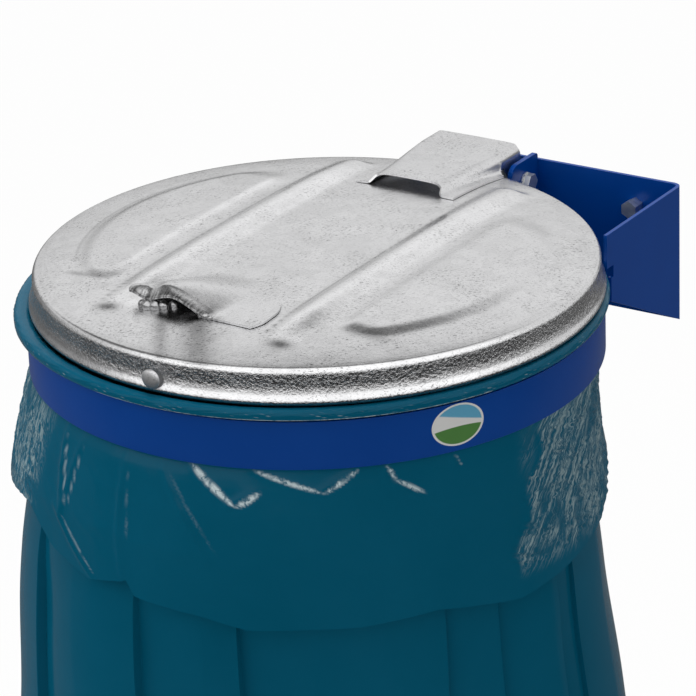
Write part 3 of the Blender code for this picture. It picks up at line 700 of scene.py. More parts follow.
@dataclass
class Lid(Assembly):
    """Pressed lid: crowned top with two ribs and two side panels, and a rolled skirt.

    Each of the painted reflection streaks is a dark streak painted on the zinc where the lid mirrors
    the dark opening under the grip, as its place across the camera's view, half its width, how far
    ahead it starts, and its darkness.
    """

    radius: float = 0.225
    depth: float = 0.0312
    shoulder: float = 0.0084
    crown: float = 0.010
    sheet: float = 0.0012
    rib_offset: float = 0.0735
    rib_width: float = 0.038
    rib_height: float = 0.0045
    rib_front: float = 0.167
    rib_rear: float = 0.186
    panel_offset: float = 0.097
    panel_radius: float = 0.187
    panel_front: float = 0.130
    panel_rear: float = 0.128
    panel_height: float = 0.0024
    blend: float = 0.007
    panel_blend: float = 0.014
    rib_ramp: float = 0.056
    rivet_level: float = 0.0135
    rivet_radius: float = 0.0075
    rivet_height: float = 0.0022
    dimple_shade_ahead: float = 0.003
    dimple_shade_out: float = 0.0042
    dimple_shade_radius: float = 0.0058
    painted_reflection_streaks: tuple[tuple[float, float, float, float], ...] = (
        (-0.1165, 0.0055, 0.112, 0.72), (-0.0890, 0.0125, 0.127, 0.88))

    @property
    def crease(self) -> float:
        """Radius of the crease between top and skirt."""
        return self.radius - self.shoulder

    def crowned(self, far: np.ndarray) -> np.ndarray:
        """Level of the plain crown at a distance from the middle."""
        return self.depth + self.crown * (1 - np.clip(far / self.crease, 0, 1) ** 4)

    def pressing(self, x: np.ndarray, y: np.ndarray) -> np.ndarray:
        """Height that the ribs and side panels add to the top.

        Args:
            x: Places across, from the middle.
            y: Places to the rear, from the middle.

        Returns:
            Heights.
        """
        across = np.abs(x)
        half = self.rib_width / 2
        rib = np.cos(np.clip(np.abs(across - self.rib_offset) / half, 0, 1) * math.pi / 2) ** 1.6
        rib *= smoothstep(y, -self.rib_front, -self.rib_front + self.rib_ramp)
        rib *= smoothstep(-y, -self.rib_rear, -self.rib_rear + 2 * self.blend)
        panel = smoothstep(across, self.panel_offset, self.panel_offset + self.panel_blend)
        far = np.hypot(x, y)
        panel *= smoothstep(-far, -self.panel_radius, -self.panel_radius + self.panel_blend)
        panel *= smoothstep(y, -self.panel_front, -self.panel_front + self.panel_blend)
        panel *= smoothstep(-y, -self.panel_rear, -self.panel_rear + 2 * self.panel_blend)
        return self.rib_height * rib + self.panel_height * panel

    def rib_end(self, x: np.ndarray, y: np.ndarray, side: Side) -> np.ndarray:
        """Distance from the middle of the painted dark spot at a rib's front end, the painted shade of
        a dimple that is not modelled.
        """
        middle = side.value * (self.rib_offset + self.dimple_shade_out)
        return np.hypot((x - middle) / 1.5, y + self.rib_front + self.dimple_shade_ahead)

    def top(self, x: np.ndarray, y: np.ndarray) -> np.ndarray:
        """Level of the lid's outer face above its lower edge."""
        return self.crowned(np.hypot(x, y)) + self.pressing(x, y)

    def painted_reflections(self, x: np.ndarray, y: np.ndarray) -> np.ndarray:
        """Darkness of the painted reflections: dark streaks painted ahead from under the grip.

        Args:
            x: Places across, from the middle.
            y: Places to the rear, from the middle.

        Returns:
            Values between 0 and 1.
        """
        across = x * math.cos(VIEW_TURN) + y * math.sin(VIEW_TURN)
        ahead = x * math.sin(VIEW_TURN) - y * math.cos(VIEW_TURN)
        dark = np.zeros_like(x)
        for middle, half, start, amount in self.painted_reflection_streaks:
            streak_fade = smoothstep(ahead, start, start + 0.010) * (1 - 0.45 * smoothstep(ahead, start, 0.215))
            dark = dark + amount * bump(across, middle, half) * streak_fade
        return dark

    def panel_painted_light(self, x: np.ndarray, y: np.ndarray) -> tuple[np.ndarray, np.ndarray]:
        """Painted shade and painted highlights along the edges of the side panels.

        Args:
            x: Places across, from the middle.
            y: Places to the rear, from the middle.

        Returns:
            How dark the painted shade and how bright the painted highlight are there, each between 0
            and 1.
        """
        step = np.abs(np.hypot(x, y) - self.panel_radius)
        beside = smoothstep(np.abs(x), self.panel_offset, self.panel_offset + 0.03)
        beside = beside * smoothstep(-np.abs(y), -self.panel_front, -0.07)
        # Painted shade line along the round outer edge of the left panel.
        dark = bump(step, 0, 0.0013) * 0.35 * beside * (x < 0)
        # Painted shade across the front end of each panel.
        for side, amount, width in ((Side.LEFT, 0.55, 0.0030), (Side.RIGHT, 0.42, 0.0060)):
            out = side.value * x
            end = smoothstep(out, self.panel_offset + 0.004, self.panel_offset + 0.016)
            end = end * smoothstep(-out, -0.152, -0.138)
            dark = np.maximum(dark, amount * bump(y, 0.003 - self.panel_front, width) * end)
        # Painted highlight along the inner edge of the left panel.
        inner = bump(x, -self.panel_offset - 0.0105, 0.0042)
        return dark, 0.28 * inner * smoothstep(0.115 - np.abs(y), 0, 0.02)

    def painted_shade_and_highlight(self, x: np.ndarray, y: np.ndarray, z: np.ndarray) -> np.ndarray:
        """Painted light and shade on the zinc: painted reflections below the grip, painted shade in the
        creases and at the rib ends, and painted highlights on the ribs and panels.

        Args:
            x: Places across, from the middle.
            y: Places to the rear, from the middle.
            z: Heights above the lower edge.

        Returns:
            Values up to about 1, below 0 where a highlight is painted.
        """
        along = smoothstep(y, -self.rib_front - 0.004, -self.rib_front + 0.012)
        along = along * smoothstep(-y, -self.rib_rear, -0.12)
        dark = self.painted_reflections(x, y)
        panel, light = self.panel_painted_light(x, y)
        # For each rib: a painted shade line along its left edge, a painted dark spot at its front end,
        # a painted highlight on its top and a soft painted shade band beside that.
        for side in Side:
            middle = side.value * self.rib_offset
            dark = np.maximum(dark, bump(x, middle - 0.0150, 0.0009) * 0.60 * along)
            dark = np.maximum(dark, 1.1 * bump(self.rib_end(x, y, side), 0, self.dimple_shade_radius))
            rib_highlight = smoothstep(x - middle, -0.009, -0.006) * smoothstep(middle - x, -0.019, -0.014)
            light = light + 0.26 * rib_highlight * along
            dark = dark + 0.10 * bump(x, middle - 0.0115, 0.0025) * along
        dark = np.maximum(dark, panel)
        # Painted shade line just inside the crease between the top and the skirt.
        dark = np.maximum(dark, 0.7 * bump(np.hypot(x, y), self.crease - 0.0012, 0.0007) * (y < 0.05))
        return (dark - light) * (z > self.depth - 0.002)

    def profile(self) -> list[tuple[float, float]]:
        """Outer profile from the middle of the top to the lower edge.

        Returns:
            Points as (radius, height above the lower edge).
        """
        top = [(self.crease * i / 96, self.depth + self.crown * (1 - (i / 96) ** 4)) for i in range(97)]
        skirt = [(self.shoulder, self.depth), (0.0052, 0.0302), (0.0034, 0.0272), (0.0032, 0.0225),
                 (0.0031, 0.0160), (0.0016, 0.0112), (-0.0004, 0.0066), (-0.0004, 0.0046),
                 (0.0006, 0.0030), (0.0014, 0.0022)]
        return top + smooth_line([(self.radius - inset, height) for inset, height in skirt], 5)[1:]

    def build(self, zinc: bpy.types.Material) -> None:
        """Model and dress the lid and the rivet in its skirt.

        Args:
            zinc: Finish of the lid.
        """
        piece = turned("lid_sheet", self.profile(), self.at(0, 0, 0), UP, AHEAD, 300)
        x, y, _ = self.local(piece)
        places = read_places(piece)
        places[:, 2] += np.where(np.hypot(x, y) < self.crease, self.pressing(x, y), 0)
        write_places(piece, places)
        solid_sheet(piece, self.sheet, -1)
        smooth(piece, 50)
        x, y, height = self.local(piece)
        # Store the lid's painted shade, painted reflections and painted highlights.
        paint_values(piece, "painted_shade_and_highlight", self.painted_shade_and_highlight(x, y, height))
        grain = 1 - smoothstep(height, self.depth - 0.005, self.depth - 0.002)
        paint_values(piece, "grain", grain - 0.97 * bump(height, 0.0095, 0.0048))
        self.add(piece, zinc, "lid")
        self.rivet(Galvanised("rivet_zinc", 0.70, 0.55).material())

    def rivet(self, zinc: bpy.types.Material) -> None:
        """Model and dress the domed rivet in the front of the skirt.

        Args:
            zinc: Finish of the rivet.
        """
        lip = 0.0012
        cap = [(self.rivet_radius * math.sin(t), lip + self.rivet_height * math.cos(t))
               for t in (math.radians(9 * i) for i in range(11))]
        cap += [(self.rivet_radius + 0.0003, lip * 0.6), (self.rivet_radius, 0.0), (0.0, 0.0)]
        seat = self.at(0, -self.radius - 0.0006, self.rivet_level)
        piece = turned("rivet_dome", cap, seat, AHEAD, Vector((1, 0, 0)), 48)
        smooth(piece, 60)
        self.add(piece, zinc, "front_rivet")


@dataclass
class Grip(Assembly):
    """Grip plate on the lid: a rounded shield, arched in front for the fingers.

    Each of the feet is a drop of weld zinc, as its place across, how far it lies behind the front
    edge, and its size.
    """

    lid: Lid
    half_width: float = 0.056
    middle: float = -0.005
    front: float = 0.161
    depth: float = 0.100
    arch: float = 0.0150
    arch_middle: float = -0.036
    arch_left: float = 0.040
    arch_right: float = 0.047
    tip_lift: float = 0.008
    tip_reach: float = 0.008
    droop: float = 0.0070
    corner_share: float = 0.15
    corner_cut: float = 0.10
    narrowing: float = 0.90
    dish: float = 0.0026
    melt: float = 0.0016
    sheet: float = 0.0017
    feet: tuple[tuple[float, float, float], ...] = (
        (-0.052, 0.001, 1.0), (-0.047, -0.001, 1.25), (-0.041, 0.001, 1.3), (-0.035, 0.004, 1.1),
        (-0.029, 0.009, 0.9), (-0.001, 0.004, 0.7), (0.004, 0.002, 0.75), (0.009, 0.001, 0.6))

    def form(self, u: np.ndarray, v: np.ndarray) -> np.ndarray:
        """Middle surface of the plate.

        Args:
            u: Places from left to right, 0 to 1.
            v: Places from front to rear, 0 to 1.

        Returns:
            Points.
        """
        v = v ** 1.4
        corner = self.corner_cut * np.clip(1 - v / self.corner_share, 0, 1) ** 2
        half = self.half_width * (1 - corner - self.narrowing * smoothstep(v, 0.25, 1.10))
        x = self.middle + half * (2 * u - 1)
        x -= self.tip_reach * smoothstep(-u, -0.22, 0) * (1 - smoothstep(v, 0, 0.25))
        y = -self.front + self.depth * v
        middle = self.arch_middle + 0.020 * smoothstep(v, 0, 0.7)
        narrow = 1 - 0.35 * smoothstep(v, 0.1, 0.8)
        reach = np.where(x < middle, self.arch_left, self.arch_right)
        across = np.abs(x - middle) / reach / narrow
        arch = self.arch * np.cos(np.clip(across, 0, 1) * math.pi / 2) ** 1.6
        arch = arch * (1 - smoothstep(v, 0.06, 0.78))
        tip = smoothstep(-x, 0.045, 0.066) * (1 - smoothstep(v, 0, 0.3))
        droop = self.droop * bump(x, -0.044, 0.016) + 0.0012
        droop = np.minimum(droop, 0.9 * (arch + 0.0001)) * (1 - smoothstep(v * self.depth, 0, 0.010))
        lift = arch + self.tip_lift * tip - droop
        dish = bump(np.hypot((x + 0.0455) / 1.6, y + 0.1500), 0, 0.0040)
        ground = self.lid.top(x, y)
        for dx, dy in ((-0.006, 0), (0.006, 0), (0, -0.006)):
            ground = np.maximum(ground, self.lid.top(x + dx, y + dy))
        sunk = self.dish * dish + self.melt * smoothstep(v, 0.42, 0.80)
        return self.points(x, y, ground + LAID_GAP + self.sheet / 2 + lift - sunk)

    def build(self, zinc: bpy.types.Material) -> None:
        """Model and dress the plate and the weld spots at its feet.

        Args:
            zinc: Finish of the plate.
        """
        piece = draped("grip_plate", 150, 120, self.form, merge=False)
        solid_sheet(piece, self.sheet)
        edge = piece.modifiers.new("edge", "BEVEL")
        edge.width = 0.0005
        edge.segments = 3
        edge.limit_method = "ANGLE"
        apply_modifiers(piece)
        smooth(piece, 50)
        across, back, _ = self.local(piece)
        back += self.front
        # Painted dark reflection streaks on the rounded front lip.
        painted_lip_reflection = 0.62 + 0.38 * np.sin(across * 1700 + 2 * np.sin(across * 610))
        lip = (1 - smoothstep(back, 0.001, 0.0075)) * smoothstep(-across, -0.03, 0)
        paint_values(piece, "painted_shade_and_highlight", lip * painted_lip_reflection)
        self.add(piece, zinc, "lid_handle")
        self.welds(Galvanised("weld_zinc", 0.40, 0.30).material())

    def welds(self, zinc: bpy.types.Material) -> None:
        """Model and dress the lumpy zinc where the feet of the arch meet the lid.

        Args:
            zinc: Finish of the drops.
        """
        for number, (x, back, size) in enumerate(self.feet, 1):
            y = -self.front + back
            level = float(self.lid.top(np.array([x]), np.array([y]))[0])
            select_none()
            bpy.ops.mesh.primitive_ico_sphere_add(subdivisions=4, radius=1.0, location=(0, 0, 0))
            spot = name_new(f"grip_weld_{number}")
            with editing():
                bpy.ops.transform.resize(value=(0.0040 * size, 0.0034 * size, 0.0038 * size))
                bpy.ops.transform.vertex_random(offset=0.0006, seed=number)
                bpy.ops.mesh.vertices_smooth(factor=0.5, repeat=2)
                bpy.ops.transform.translate(value=self.at(x, y, level + 0.0012 * size))
            smooth(spot, 80)
            self.add(spot, zinc, slot="galvanised")


@dataclass
class Hood(Assembly):
    """Bent saddle over the hinge: low arch in front, square shoulders at the rear."""

    lid: Lid
    top: float = 0.0172
    front: float = 0.131
    rear: float = 0.247
    lip: float = 0.010
    foot: float = 0.046
    sheet: float = 0.0018
    cutout_start: float = 0.213
    cutout_top: float = 0.0095
    roof_ends: tuple[float, float] = (0.021, 0.034)
    flank_ends: tuple[float, float] = (0.032, 0.0395)

    def section(self, share: float) -> tuple[list[float], list[float], list[float]]:
        """Half section at a share of the length.

        Args:
            share: 0 at the front lip, 1 at the rear edge.

        Returns:
            Way along the section between 0 and 1, places across, and heights between 0 and 1.
        """
        ease = float(smoothstep(share, 0, 0.8))
        roof, flank = (start + (end - start) * ease for start, end in (self.roof_ends, self.flank_ends))
        gap = flank - roof
        line = smooth_line([(0, 1.0), (roof * 0.6, 0.99), (roof, 0.97), (roof + gap * 0.5, 0.88),
                            (roof + gap * 0.85, 0.68), (flank, 0.38), (flank + 0.0012, 0.13),
                            (flank + 0.0038, 0.02), (self.foot, 0.0)], 6)
        ways = run_lengths(line, self.top)
        return [way / ways[-1] for way in ways], [x for x, _ in line], [h for _, h in line]

    def form(self, u: np.ndarray, v: np.ndarray) -> np.ndarray:
        """Middle surface of the hood.

        Args:
            u: Places from the left foot over the roof to the right foot.
            v: Places from front to rear.

        Returns:
            Points.
        """
        points = np.empty((len(u), 3))
        for share in np.unique(np.round(v, 5)):
            row = np.isclose(v, share, atol=1e-4)
            ways, across, heights = self.section(float(share))
            side = 2 * u[row] - 1
            way = np.abs(side)
            middle = self.front + (self.rear - self.front) * share
            cut = float(smoothstep(middle, self.cutout_start - 0.002, self.cutout_start + 0.005))
            limit = np.interp(1 - self.cutout_top / self.top, [1 - h for h in heights], ways)
            way = way * (1 - cut * (1 - limit))
            x = np.interp(way, ways, across)
            height = np.interp(way, ways, heights)
            front = self.front + self.lip * height
            y = front + (self.rear - front) * share
            ground = self.lid.crowned(np.hypot(x, y)) + LAID_GAP + self.sheet / 2
            top = self.lid.depth + self.top - self.sheet / 2
            points[row] = self.points(np.sign(side) * x, y, ground + (top - ground) * height)
        return points

    def build(self, zinc: bpy.types.Material) -> None:
        """Model and dress the hood.

        Args:
            zinc: Finish of the hood.
        """
        piece = draped("hood_sheet", 120, 110, self.form, merge=False)
        solid_sheet(piece, self.sheet)
        smooth(piece, 50)
        self.add(piece, zinc, "hinge_hood")


@dataclass
class Rings(Assembly):
    """Fixed band and loose clamping hoop."""

    outer: float = 0.2265
    inner: float = 0.2240
    top: float = -0.0093
    bottom: float = -0.0481
    aside: float = 0.0020
    hoop: float = 0.2222
    overhang: float = 0.0038
    bead: float = 0.0035
    steps: int = 360

    def build(self, paint: bpy.types.Material) -> None:
        """Model and dress both rings.

        Args:
            paint: Finish of the rings.
        """
        middle = self.at(*slid(self.aside), 0)
        low, high = self.bottom, self.top
        edge = 0.0007
        profile = [(self.inner, high - edge), *arc((self.inner + edge, high - edge), edge, 180, 90, 3),
                   *arc((self.outer - edge, high - edge), edge, 90, 0, 4),
                   *arc((self.outer - edge, low + edge), edge, 0, -90, 4),
                   *arc((self.inner + edge, low + edge), edge, 270, 180, 3), (self.inner, high - edge)]
        band = turned("ring_band", profile, middle, UP, AHEAD, self.steps)
        smooth(band, 50)
        self.add(band, paint, "holder_ring")

        low, high = (corner.z - self.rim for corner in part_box("clamping_ring"))
        inside = self.hoop - 0.0016
        bead = (self.hoop + self.overhang, high - self.bead)
        profile = [(inside, low), (inside, high - 0.009), *arc(bead, self.bead, 215, -130, 20),
                   (self.hoop, high - 0.010), (self.hoop, low), (inside, low)]
        hoop = turned("ring_hoop", profile, middle, UP, AHEAD, 240)
        smooth(hoop, 50)
        self.add(hoop, paint, "clamping_ring")


@dataclass(frozen=True)
class Mark:
    """Crease in the cuff, with its ends as (degrees round the ring, millimetres above the rim).

    Width and height are in millimetres too, and shine is how bright its ridge is.
    """

    start: tuple[float, float]
    end: tuple[float, float]
    width: float
    height: float
    shine: float


@dataclass
class Sack(Assembly):
    """Film sack: a cuff over the rings, and the sack proper hanging to its flat seam.

    The folds of the sack are given in degrees round the ring, 0 at the front, and the hem of the
    cuff as (degrees, millimetres above the rim).
    """

    film_radius: float = 0.2232
    bead_radius: float = 0.2277
    bead_level: float = -0.0030
    wrap: float = 0.0043
    exit_level: float = -0.0490
    rim_aside: float = 0.0038
    band_aside: float = 0.0020
    drop_start: float = -0.056
    drop: float = 0.900
    seam: float = 0.0045
    slot_turn: float = 30.0
    fold_depth: float = 0.008
    fold_reach: float = 15.0
    bulge: float = 0.0065
    flattening: float = 1.6
    folds: tuple[float, ...] = (
        -173, -140, -100, -64, -35, -3.4, 18.6, 59.6, 72.1, 88.6, 95.5, 121.5, 150)
    hem: tuple[tuple[float, float], ...] = (
        (-180, -160), (-140, -165), (-100, -150), (-60, -140), (-52, -138), (-46, -134),
        (-36.5, -128), (-33.7, -128), (-24.8, -151), (-13.4, -162), (-5.1, -154.2), (-3.8, -151.5),
        (-2.5, -163.5), (-0.2, -165), (11.5, -169.6), (20.4, -177.8), (31.5, -176.2), (41.6, -176.5),
        (56.1, -171.7), (64.6, -177.3), (74.4, -184.5), (84.8, -179.7), (93.6, -172.5), (103, -165),
        (110, -154), (118, -142), (124, -138), (140, -150), (160, -160), (180, -160))
    tucked: float = 0.45
    marks: tuple[Mark, ...] = (
        Mark((7.5, -49), (16.9, -78), 2.7, 1.7, 0.95), Mark((16.9, -78), (21.5, -66), 2.5, 1.8, 0.95),
        Mark((20.0, -50), (33.5, -67), 1.5, 1.6, 0.85), Mark((33.5, -67), (40, -51), 1.9, 1.7, 0.95),
        Mark((45.4, -50), (47, -62), 1.6, 1.8, 0.8), Mark((47, -62), (52.7, -76), 1.7, 1.6, 0.8),
        Mark((59, -49), (61, -64), 1.3, 1.5, 0.3), Mark((2, -50), (14, -122), 2.2, 1.7, 0.10),
        Mark((-6, -52), (-5, -150), 1.6, 1.5, 0.10), Mark((-24, -50), (-22, -120), 2.4, 2.6, 0.30),
        Mark((-18, -54), (-22, -118), 2.0, 2.0, 0.25), Mark((-24, -115), (-13, -160), 2.4, 2.2, 0.22))
    mm_per_degree: float = 4.1

    @property
    def inside(self) -> float:
        """Radius of the film inside the hoop."""
        return self.film_radius - 0.0036

    @property
    def tuck_level(self) -> float:
        """Level under the bead at which the film lies straight behind the band."""
        return self.bead_level - 0.0062

    def tucked_line(self) -> list[tuple[float, float]]:
        """Section of the film from inside the hoop, over its bead and down behind the band.

        Returns:
            Points as (radius, height above the rim).
        """
        line = [(self.inside, self.drop_start - 0.004), (self.inside, self.bead_level - 0.006)]
        line += arc((self.inside + 0.0025, self.bead_level + 0.0018), 0.0025, 180, 95, 6)
        line += arc((self.bead_radius, self.bead_level), self.wrap, 90, -80, 24)
        return line + [(self.film_radius, self.tuck_level), (self.film_radius, self.exit_level)]

    def sway(self, level: np.ndarray, cuff: bool) -> np.ndarray:
        """How far the film hangs to the left of the photograph.

        Args:
            level: Heights above the rim, in metres.
            cuff: Whether it is the cuff, or else the sack proper.

        Returns:
            Shifts in metres.
        """
        down = -level / MM
        rim, band = self.rim_aside / MM, self.band_aside / MM
        if cuff:
            return np.interp(down, [0, 6, 9, 49, 58, 83, 117, 138, 170],
                             [rim, rim, band, band, 5.5, 8.9, 11.6, 11.2, 9.5]) * MM
        return (band + 12 * smoothstep(down, 50, 190) - 3.0 * smoothstep(down, 235, 345)) * MM

    def cuff(self, u: np.ndarray, v: np.ndarray) -> np.ndarray:
        """Film from inside the hoop, over the bead and down to the hem.

        Args:
            u: Places round the ring.
            v: Places along the film, the hem at 1.

        Returns:
            Points.
        """
        degrees = -180 + 360 * u
        turn = np.radians(degrees)
        line = self.tucked_line()
        ways = run_lengths(line)
        start = ways[-1] - 0.062
        share = np.clip(v / self.tucked, 0, 1)
        way = np.interp(share, [0, 0.08, 0.84, 1], [0, start, start + 0.024, ways[-1]])
        radius = np.interp(way, ways, [r for r, _ in line])
        level = np.interp(way, ways, [z for _, z in line])

        free = v > self.tucked
        fall = np.clip((v - self.tucked) / (1 - self.tucked), 0, 1)
        stops = np.array(self.hem)
        hem = np.interp(degrees, stops[:, 0], stops[:, 1]) * MM
        level = np.where(free, self.exit_level + (hem - self.exit_level) * fall, level)
        radius = radius + (self.folded(degrees, level, fall) + self.creases(degrees, level)) * free
        out, sunk = self.over_bead(degrees, level, ways[-1] - way)
        radius = radius + out * ~free
        aside_x, aside_y = slid(self.sway(level, True))
        return self.points(radius * np.sin(turn) + aside_x, aside_y - radius * np.cos(turn),
                           level - sunk * ~free)

    def folded(self, degrees: np.ndarray, level: np.ndarray, fall: np.ndarray) -> np.ndarray:
        """Flare, broad folds and crumpling of the free part of the cuff.

        Args:
            degrees: Angle round the ring, 0 at the front.
            level: Heights above the rim, in metres.
            fall: Share of the way from the band down to the hem.

        Returns:
            How far the film stands out from the ring, in metres.
        """
        turn = np.radians(degrees)
        beside = np.sin(turn - VIEW_TURN) ** 2
        flare = np.interp(fall, [0, 0.04, 0.12, 0.30, 0.6, 0.85, 1],
                          [0, 1.3, 3.9, 8.2, 11.2, 11.0, 10.4]) * MM
        wide = np.interp(fall, [0, 0.10, 0.36, 0.72, 1], [0, 0.9, 3.9, 10.0, 14.5]) * MM
        flare += (wide - flare) * beside
        depth = (self.exit_level - level) / 0.12
        broad = ripple(turn, depth, 3, 6, 4, 1.2) * 1.9 * smoothstep(fall, 0.05, 0.9)
        folds = np.zeros_like(turn)
        for seed, waves, size in ((11, 16, 0.9), (12, 30, 0.55)):
            wave = ripple(turn, depth, seed, 5, waves, 1.0)
            folds += (1 - np.abs(np.clip(wave, -1.6, 1.6))) * size
        folds *= smoothstep(fall, 0.01, 0.2) * (1 - 0.55 * smoothstep(fall, 0.3, 0.9))
        crumple = ripple(turn, depth, 21, 7, 60, 2.6) + 0.6 * ripple(turn, depth, 22, 7, 110, 3.0)
        crinkle_and_sheen_level = self.crinkle_and_sheen(degrees, level)
        crumple *= 0.5 * crinkle_and_sheen_level * smoothstep(fall, 0.0, 0.1)
        return flare + (broad + folds * (0.35 + 0.9 * crinkle_and_sheen_level) + crumple) * MM

    def over_bead(self, degrees: np.ndarray, level: np.ndarray,
                  left: np.ndarray) -> tuple[np.ndarray, np.ndarray]:
        """Small folds over the bead, and the loose film beside the rivet.

        Args:
            degrees: Angle round the ring, 0 at the front.
            level: Heights above the rim, in metres.
            left: Way left along the film to the band's lower edge, in metres.

        Returns:
            How far the film stands out and how far it sinks, in metres.
        """
        turn = np.radians(degrees)
        crossed = ripple(turn, level * 60, 31, 6, 50, 1.0) + 1.2 * bump(degrees, -66, 26) * ripple(
            turn, level * 60, 32, 6, 170, 2.0)
        over = smoothstep(level, self.bead_level - 0.004, self.bead_level + 0.003)
        wrap = math.radians(170) * self.wrap
        share = np.clip((self.tuck_level - self.exit_level - left + wrap + 0.0046) / wrap, 0, 1)
        loose = bump(degrees, -62, 27)
        droop = smoothstep(share, 0.15, 0.75) * (1 - smoothstep(share, 0.88, 1.0))
        out = 0.00025 * crossed * over + 0.0024 * loose * np.sin(np.pi * share)
        return out, 0.0065 * loose * droop

    def crinkle_and_sheen(self, degrees: np.ndarray, level: np.ndarray) -> np.ndarray:
        """Where the film is crinkled and carries a painted grey sheen.

        Args:
            degrees: Angle round the ring, 0 at the front.
            level: Heights above the rim, in metres.

        Returns:
            Values between 0 and 1.
        """
        z = level / MM
        edge = 82.5 + 0.095 * (z + 50) + 1.2 * np.sin(z / 7)
        right = smoothstep(degrees, edge - 0.6, edge + 1.2) * (1 - smoothstep(degrees, 112, 126))
        right = right + 0.6 * bump(degrees, 77.5 + 0.03 * (z + 60), 1.7) * bump(z, -62, 16)
        right *= smoothstep(z, -172, -150) * (1 - smoothstep(z, -50, -40))
        left = smoothstep(-degrees, 28 - 0.05 * (z + 60), 36) * (1 - smoothstep(-degrees, 80, 100))
        left *= smoothstep(z, -150, -110) * (1 - smoothstep(z, -54, -44))
        rear = 0.5 * smoothstep(np.abs(degrees), 120, 150)
        return np.clip(right + 0.9 * left + rear, 0, 1)

    def creases(self, degrees: np.ndarray, level: np.ndarray) -> np.ndarray:
        """Sharp creases pulled from under the band, as heights of the film.

        Args:
            degrees: Angle round the ring, 0 at the front.
            level: Heights above the rim, in metres.

        Returns:
            Heights in metres.
        """
        total = np.zeros_like(degrees)
        for mark in self.marks:
            total += mark.height * MM * self.along_mark(mark, degrees, level)
        return total

    def along_mark(self, mark: Mark, degrees: np.ndarray, level: np.ndarray) -> np.ndarray:
        """Ridge across one crease, fading at both its ends.

        Args:
            mark: The crease.
            degrees: Angle round the ring, 0 at the front.
            level: Heights above the rim, in metres.

        Returns:
            Values between 0 and 1.
        """
        px, pz = (degrees - mark.start[0]) * self.mm_per_degree, level / MM - mark.start[1]
        dx, dz = (mark.end[0] - mark.start[0]) * self.mm_per_degree, mark.end[1] - mark.start[1]
        along = np.clip((px * dx + pz * dz) / math.hypot(dx, dz) ** 2, 0, 1)
        away = np.hypot(px - along * dx, pz - along * dz)
        return np.exp(-away / mark.width) * np.sin(np.pi * np.clip(along, 0.04, 0.96)) ** 0.4

    def glints(self, degrees: np.ndarray, level: np.ndarray) -> np.ndarray:
        """How bright the film shines along its creases and on its rim.

        Args:
            degrees: Angle round the ring, 0 at the front.
            level: Heights above the rim, in metres.

        Returns:
            Values between 0 and 1.
        """
        total = 0.9 * bump(level / MM, -6.1, 0.35) * (np.abs(degrees - 27) < 40) * (level > -0.008)
        dabs = ripple(np.radians(degrees), level * 60, 33, 6, 120, 2.0)
        total = np.maximum(total, 0.55 * smoothstep(dabs, 1.15, 1.8) * bump(level / MM, -3.5, 2.5))
        for mark in self.marks:
            edge = 0.25 if mark.shine > 0.5 else 0.48
            shine = mark.shine * smoothstep(self.along_mark(mark, degrees, level), edge, edge + 0.36)
            total = np.maximum(total, shine * (level < self.exit_level))
        return total

    def spread(self, u: np.ndarray) -> np.ndarray:
        """Angles round the sack in degrees, with more columns at each fold.

        Args:
            u: Places round the sack, 0 to 1.

        Returns:
            Angles from -180 to 180, 0 at the front.
        """
        fine = np.linspace(-180, 180, 14401)
        dense = np.ones_like(fine)
        for place in self.folds:
            dense += 14 * np.exp(-(((fine - place - 0.3 + 180) % 360 - 180) / 0.6) ** 2)
        sums = np.concatenate([[0], np.cumsum((dense[1:] + dense[:-1]) / 2)])
        return np.interp(u, sums / sums[-1], fine)

    def sunk(self, degrees: np.ndarray) -> np.ndarray:
        """Share of the fold depth by which the film lies behind the fold on its left.

        Args:
            degrees: Angle round the ring, 0 at the front.

        Returns:
            Values between 0 and 1.
        """
        behind = np.full_like(degrees, 360.0)
        for place in self.folds:
            behind = np.minimum(behind, (degrees - place) % 360)
        return np.clip(behind / 0.5, 0, 1) * np.clip(1 - behind / self.fold_reach, 0, 1)

    def hang(self, u: np.ndarray, v: np.ndarray) -> np.ndarray:
        """Sack proper, from inside the hoop to the seam.

        Args:
            u: Places round the ring.
            v: Places down the sack.

        Returns:
            Points.
        """
        degrees = self.spread(u)
        turn = np.radians(degrees - 90 - self.slot_turn)
        share = np.clip(v, 0, 1)
        start = self.inside
        small = start + (self.seam / 2 - start) * share ** self.flattening
        straight = math.pi / 2 * (start - small)
        along = (turn * start) % (math.pi * start)
        along = np.minimum(along, math.pi * start - along)
        bend = np.clip(along / np.maximum(small, 1e-6), 0, math.pi / 2)
        sign_x, sign_y = np.sign(np.cos(turn) + 1e-12), np.sign(np.sin(turn) + 1e-12)
        level = self.drop_start - self.drop * share
        loose = smoothstep(share, 0.03, 0.20) * (1 - smoothstep(share, 0.5, 1.0))
        lift = self.bulge - self.fold_depth * self.sunk(degrees)
        lift = (lift + ripple(np.radians(degrees), share * 6, 41, 6, 9, 0.4) * 0.8 * MM) * loose
        past = np.maximum(0, along - math.pi / 2 * small)
        x = sign_x * (straight + (small + lift) * np.cos(bend) - past)
        y = sign_y * (small + lift) * np.sin(bend)
        cos, sin = math.cos(math.radians(self.slot_turn)), math.sin(math.radians(self.slot_turn))
        aside_x, aside_y = slid(self.sway(level, False))
        return self.points(x * cos - y * sin + aside_x, x * sin + y * cos + aside_y, level)

    def store_sheen_and_glints(self, piece: bpy.types.Object) -> None:
        """Store where the film is crinkled under a painted sheen, and the glints of the creases.

        Args:
            piece: The piece of film.
        """
        x, y, level = self.local(piece)
        degrees = np.degrees(np.arctan2(x, -y))
        paint_values(piece, "crinkle_and_sheen", self.crinkle_and_sheen(degrees, level))
        paint_values(piece, "glint", self.glints(degrees, level))

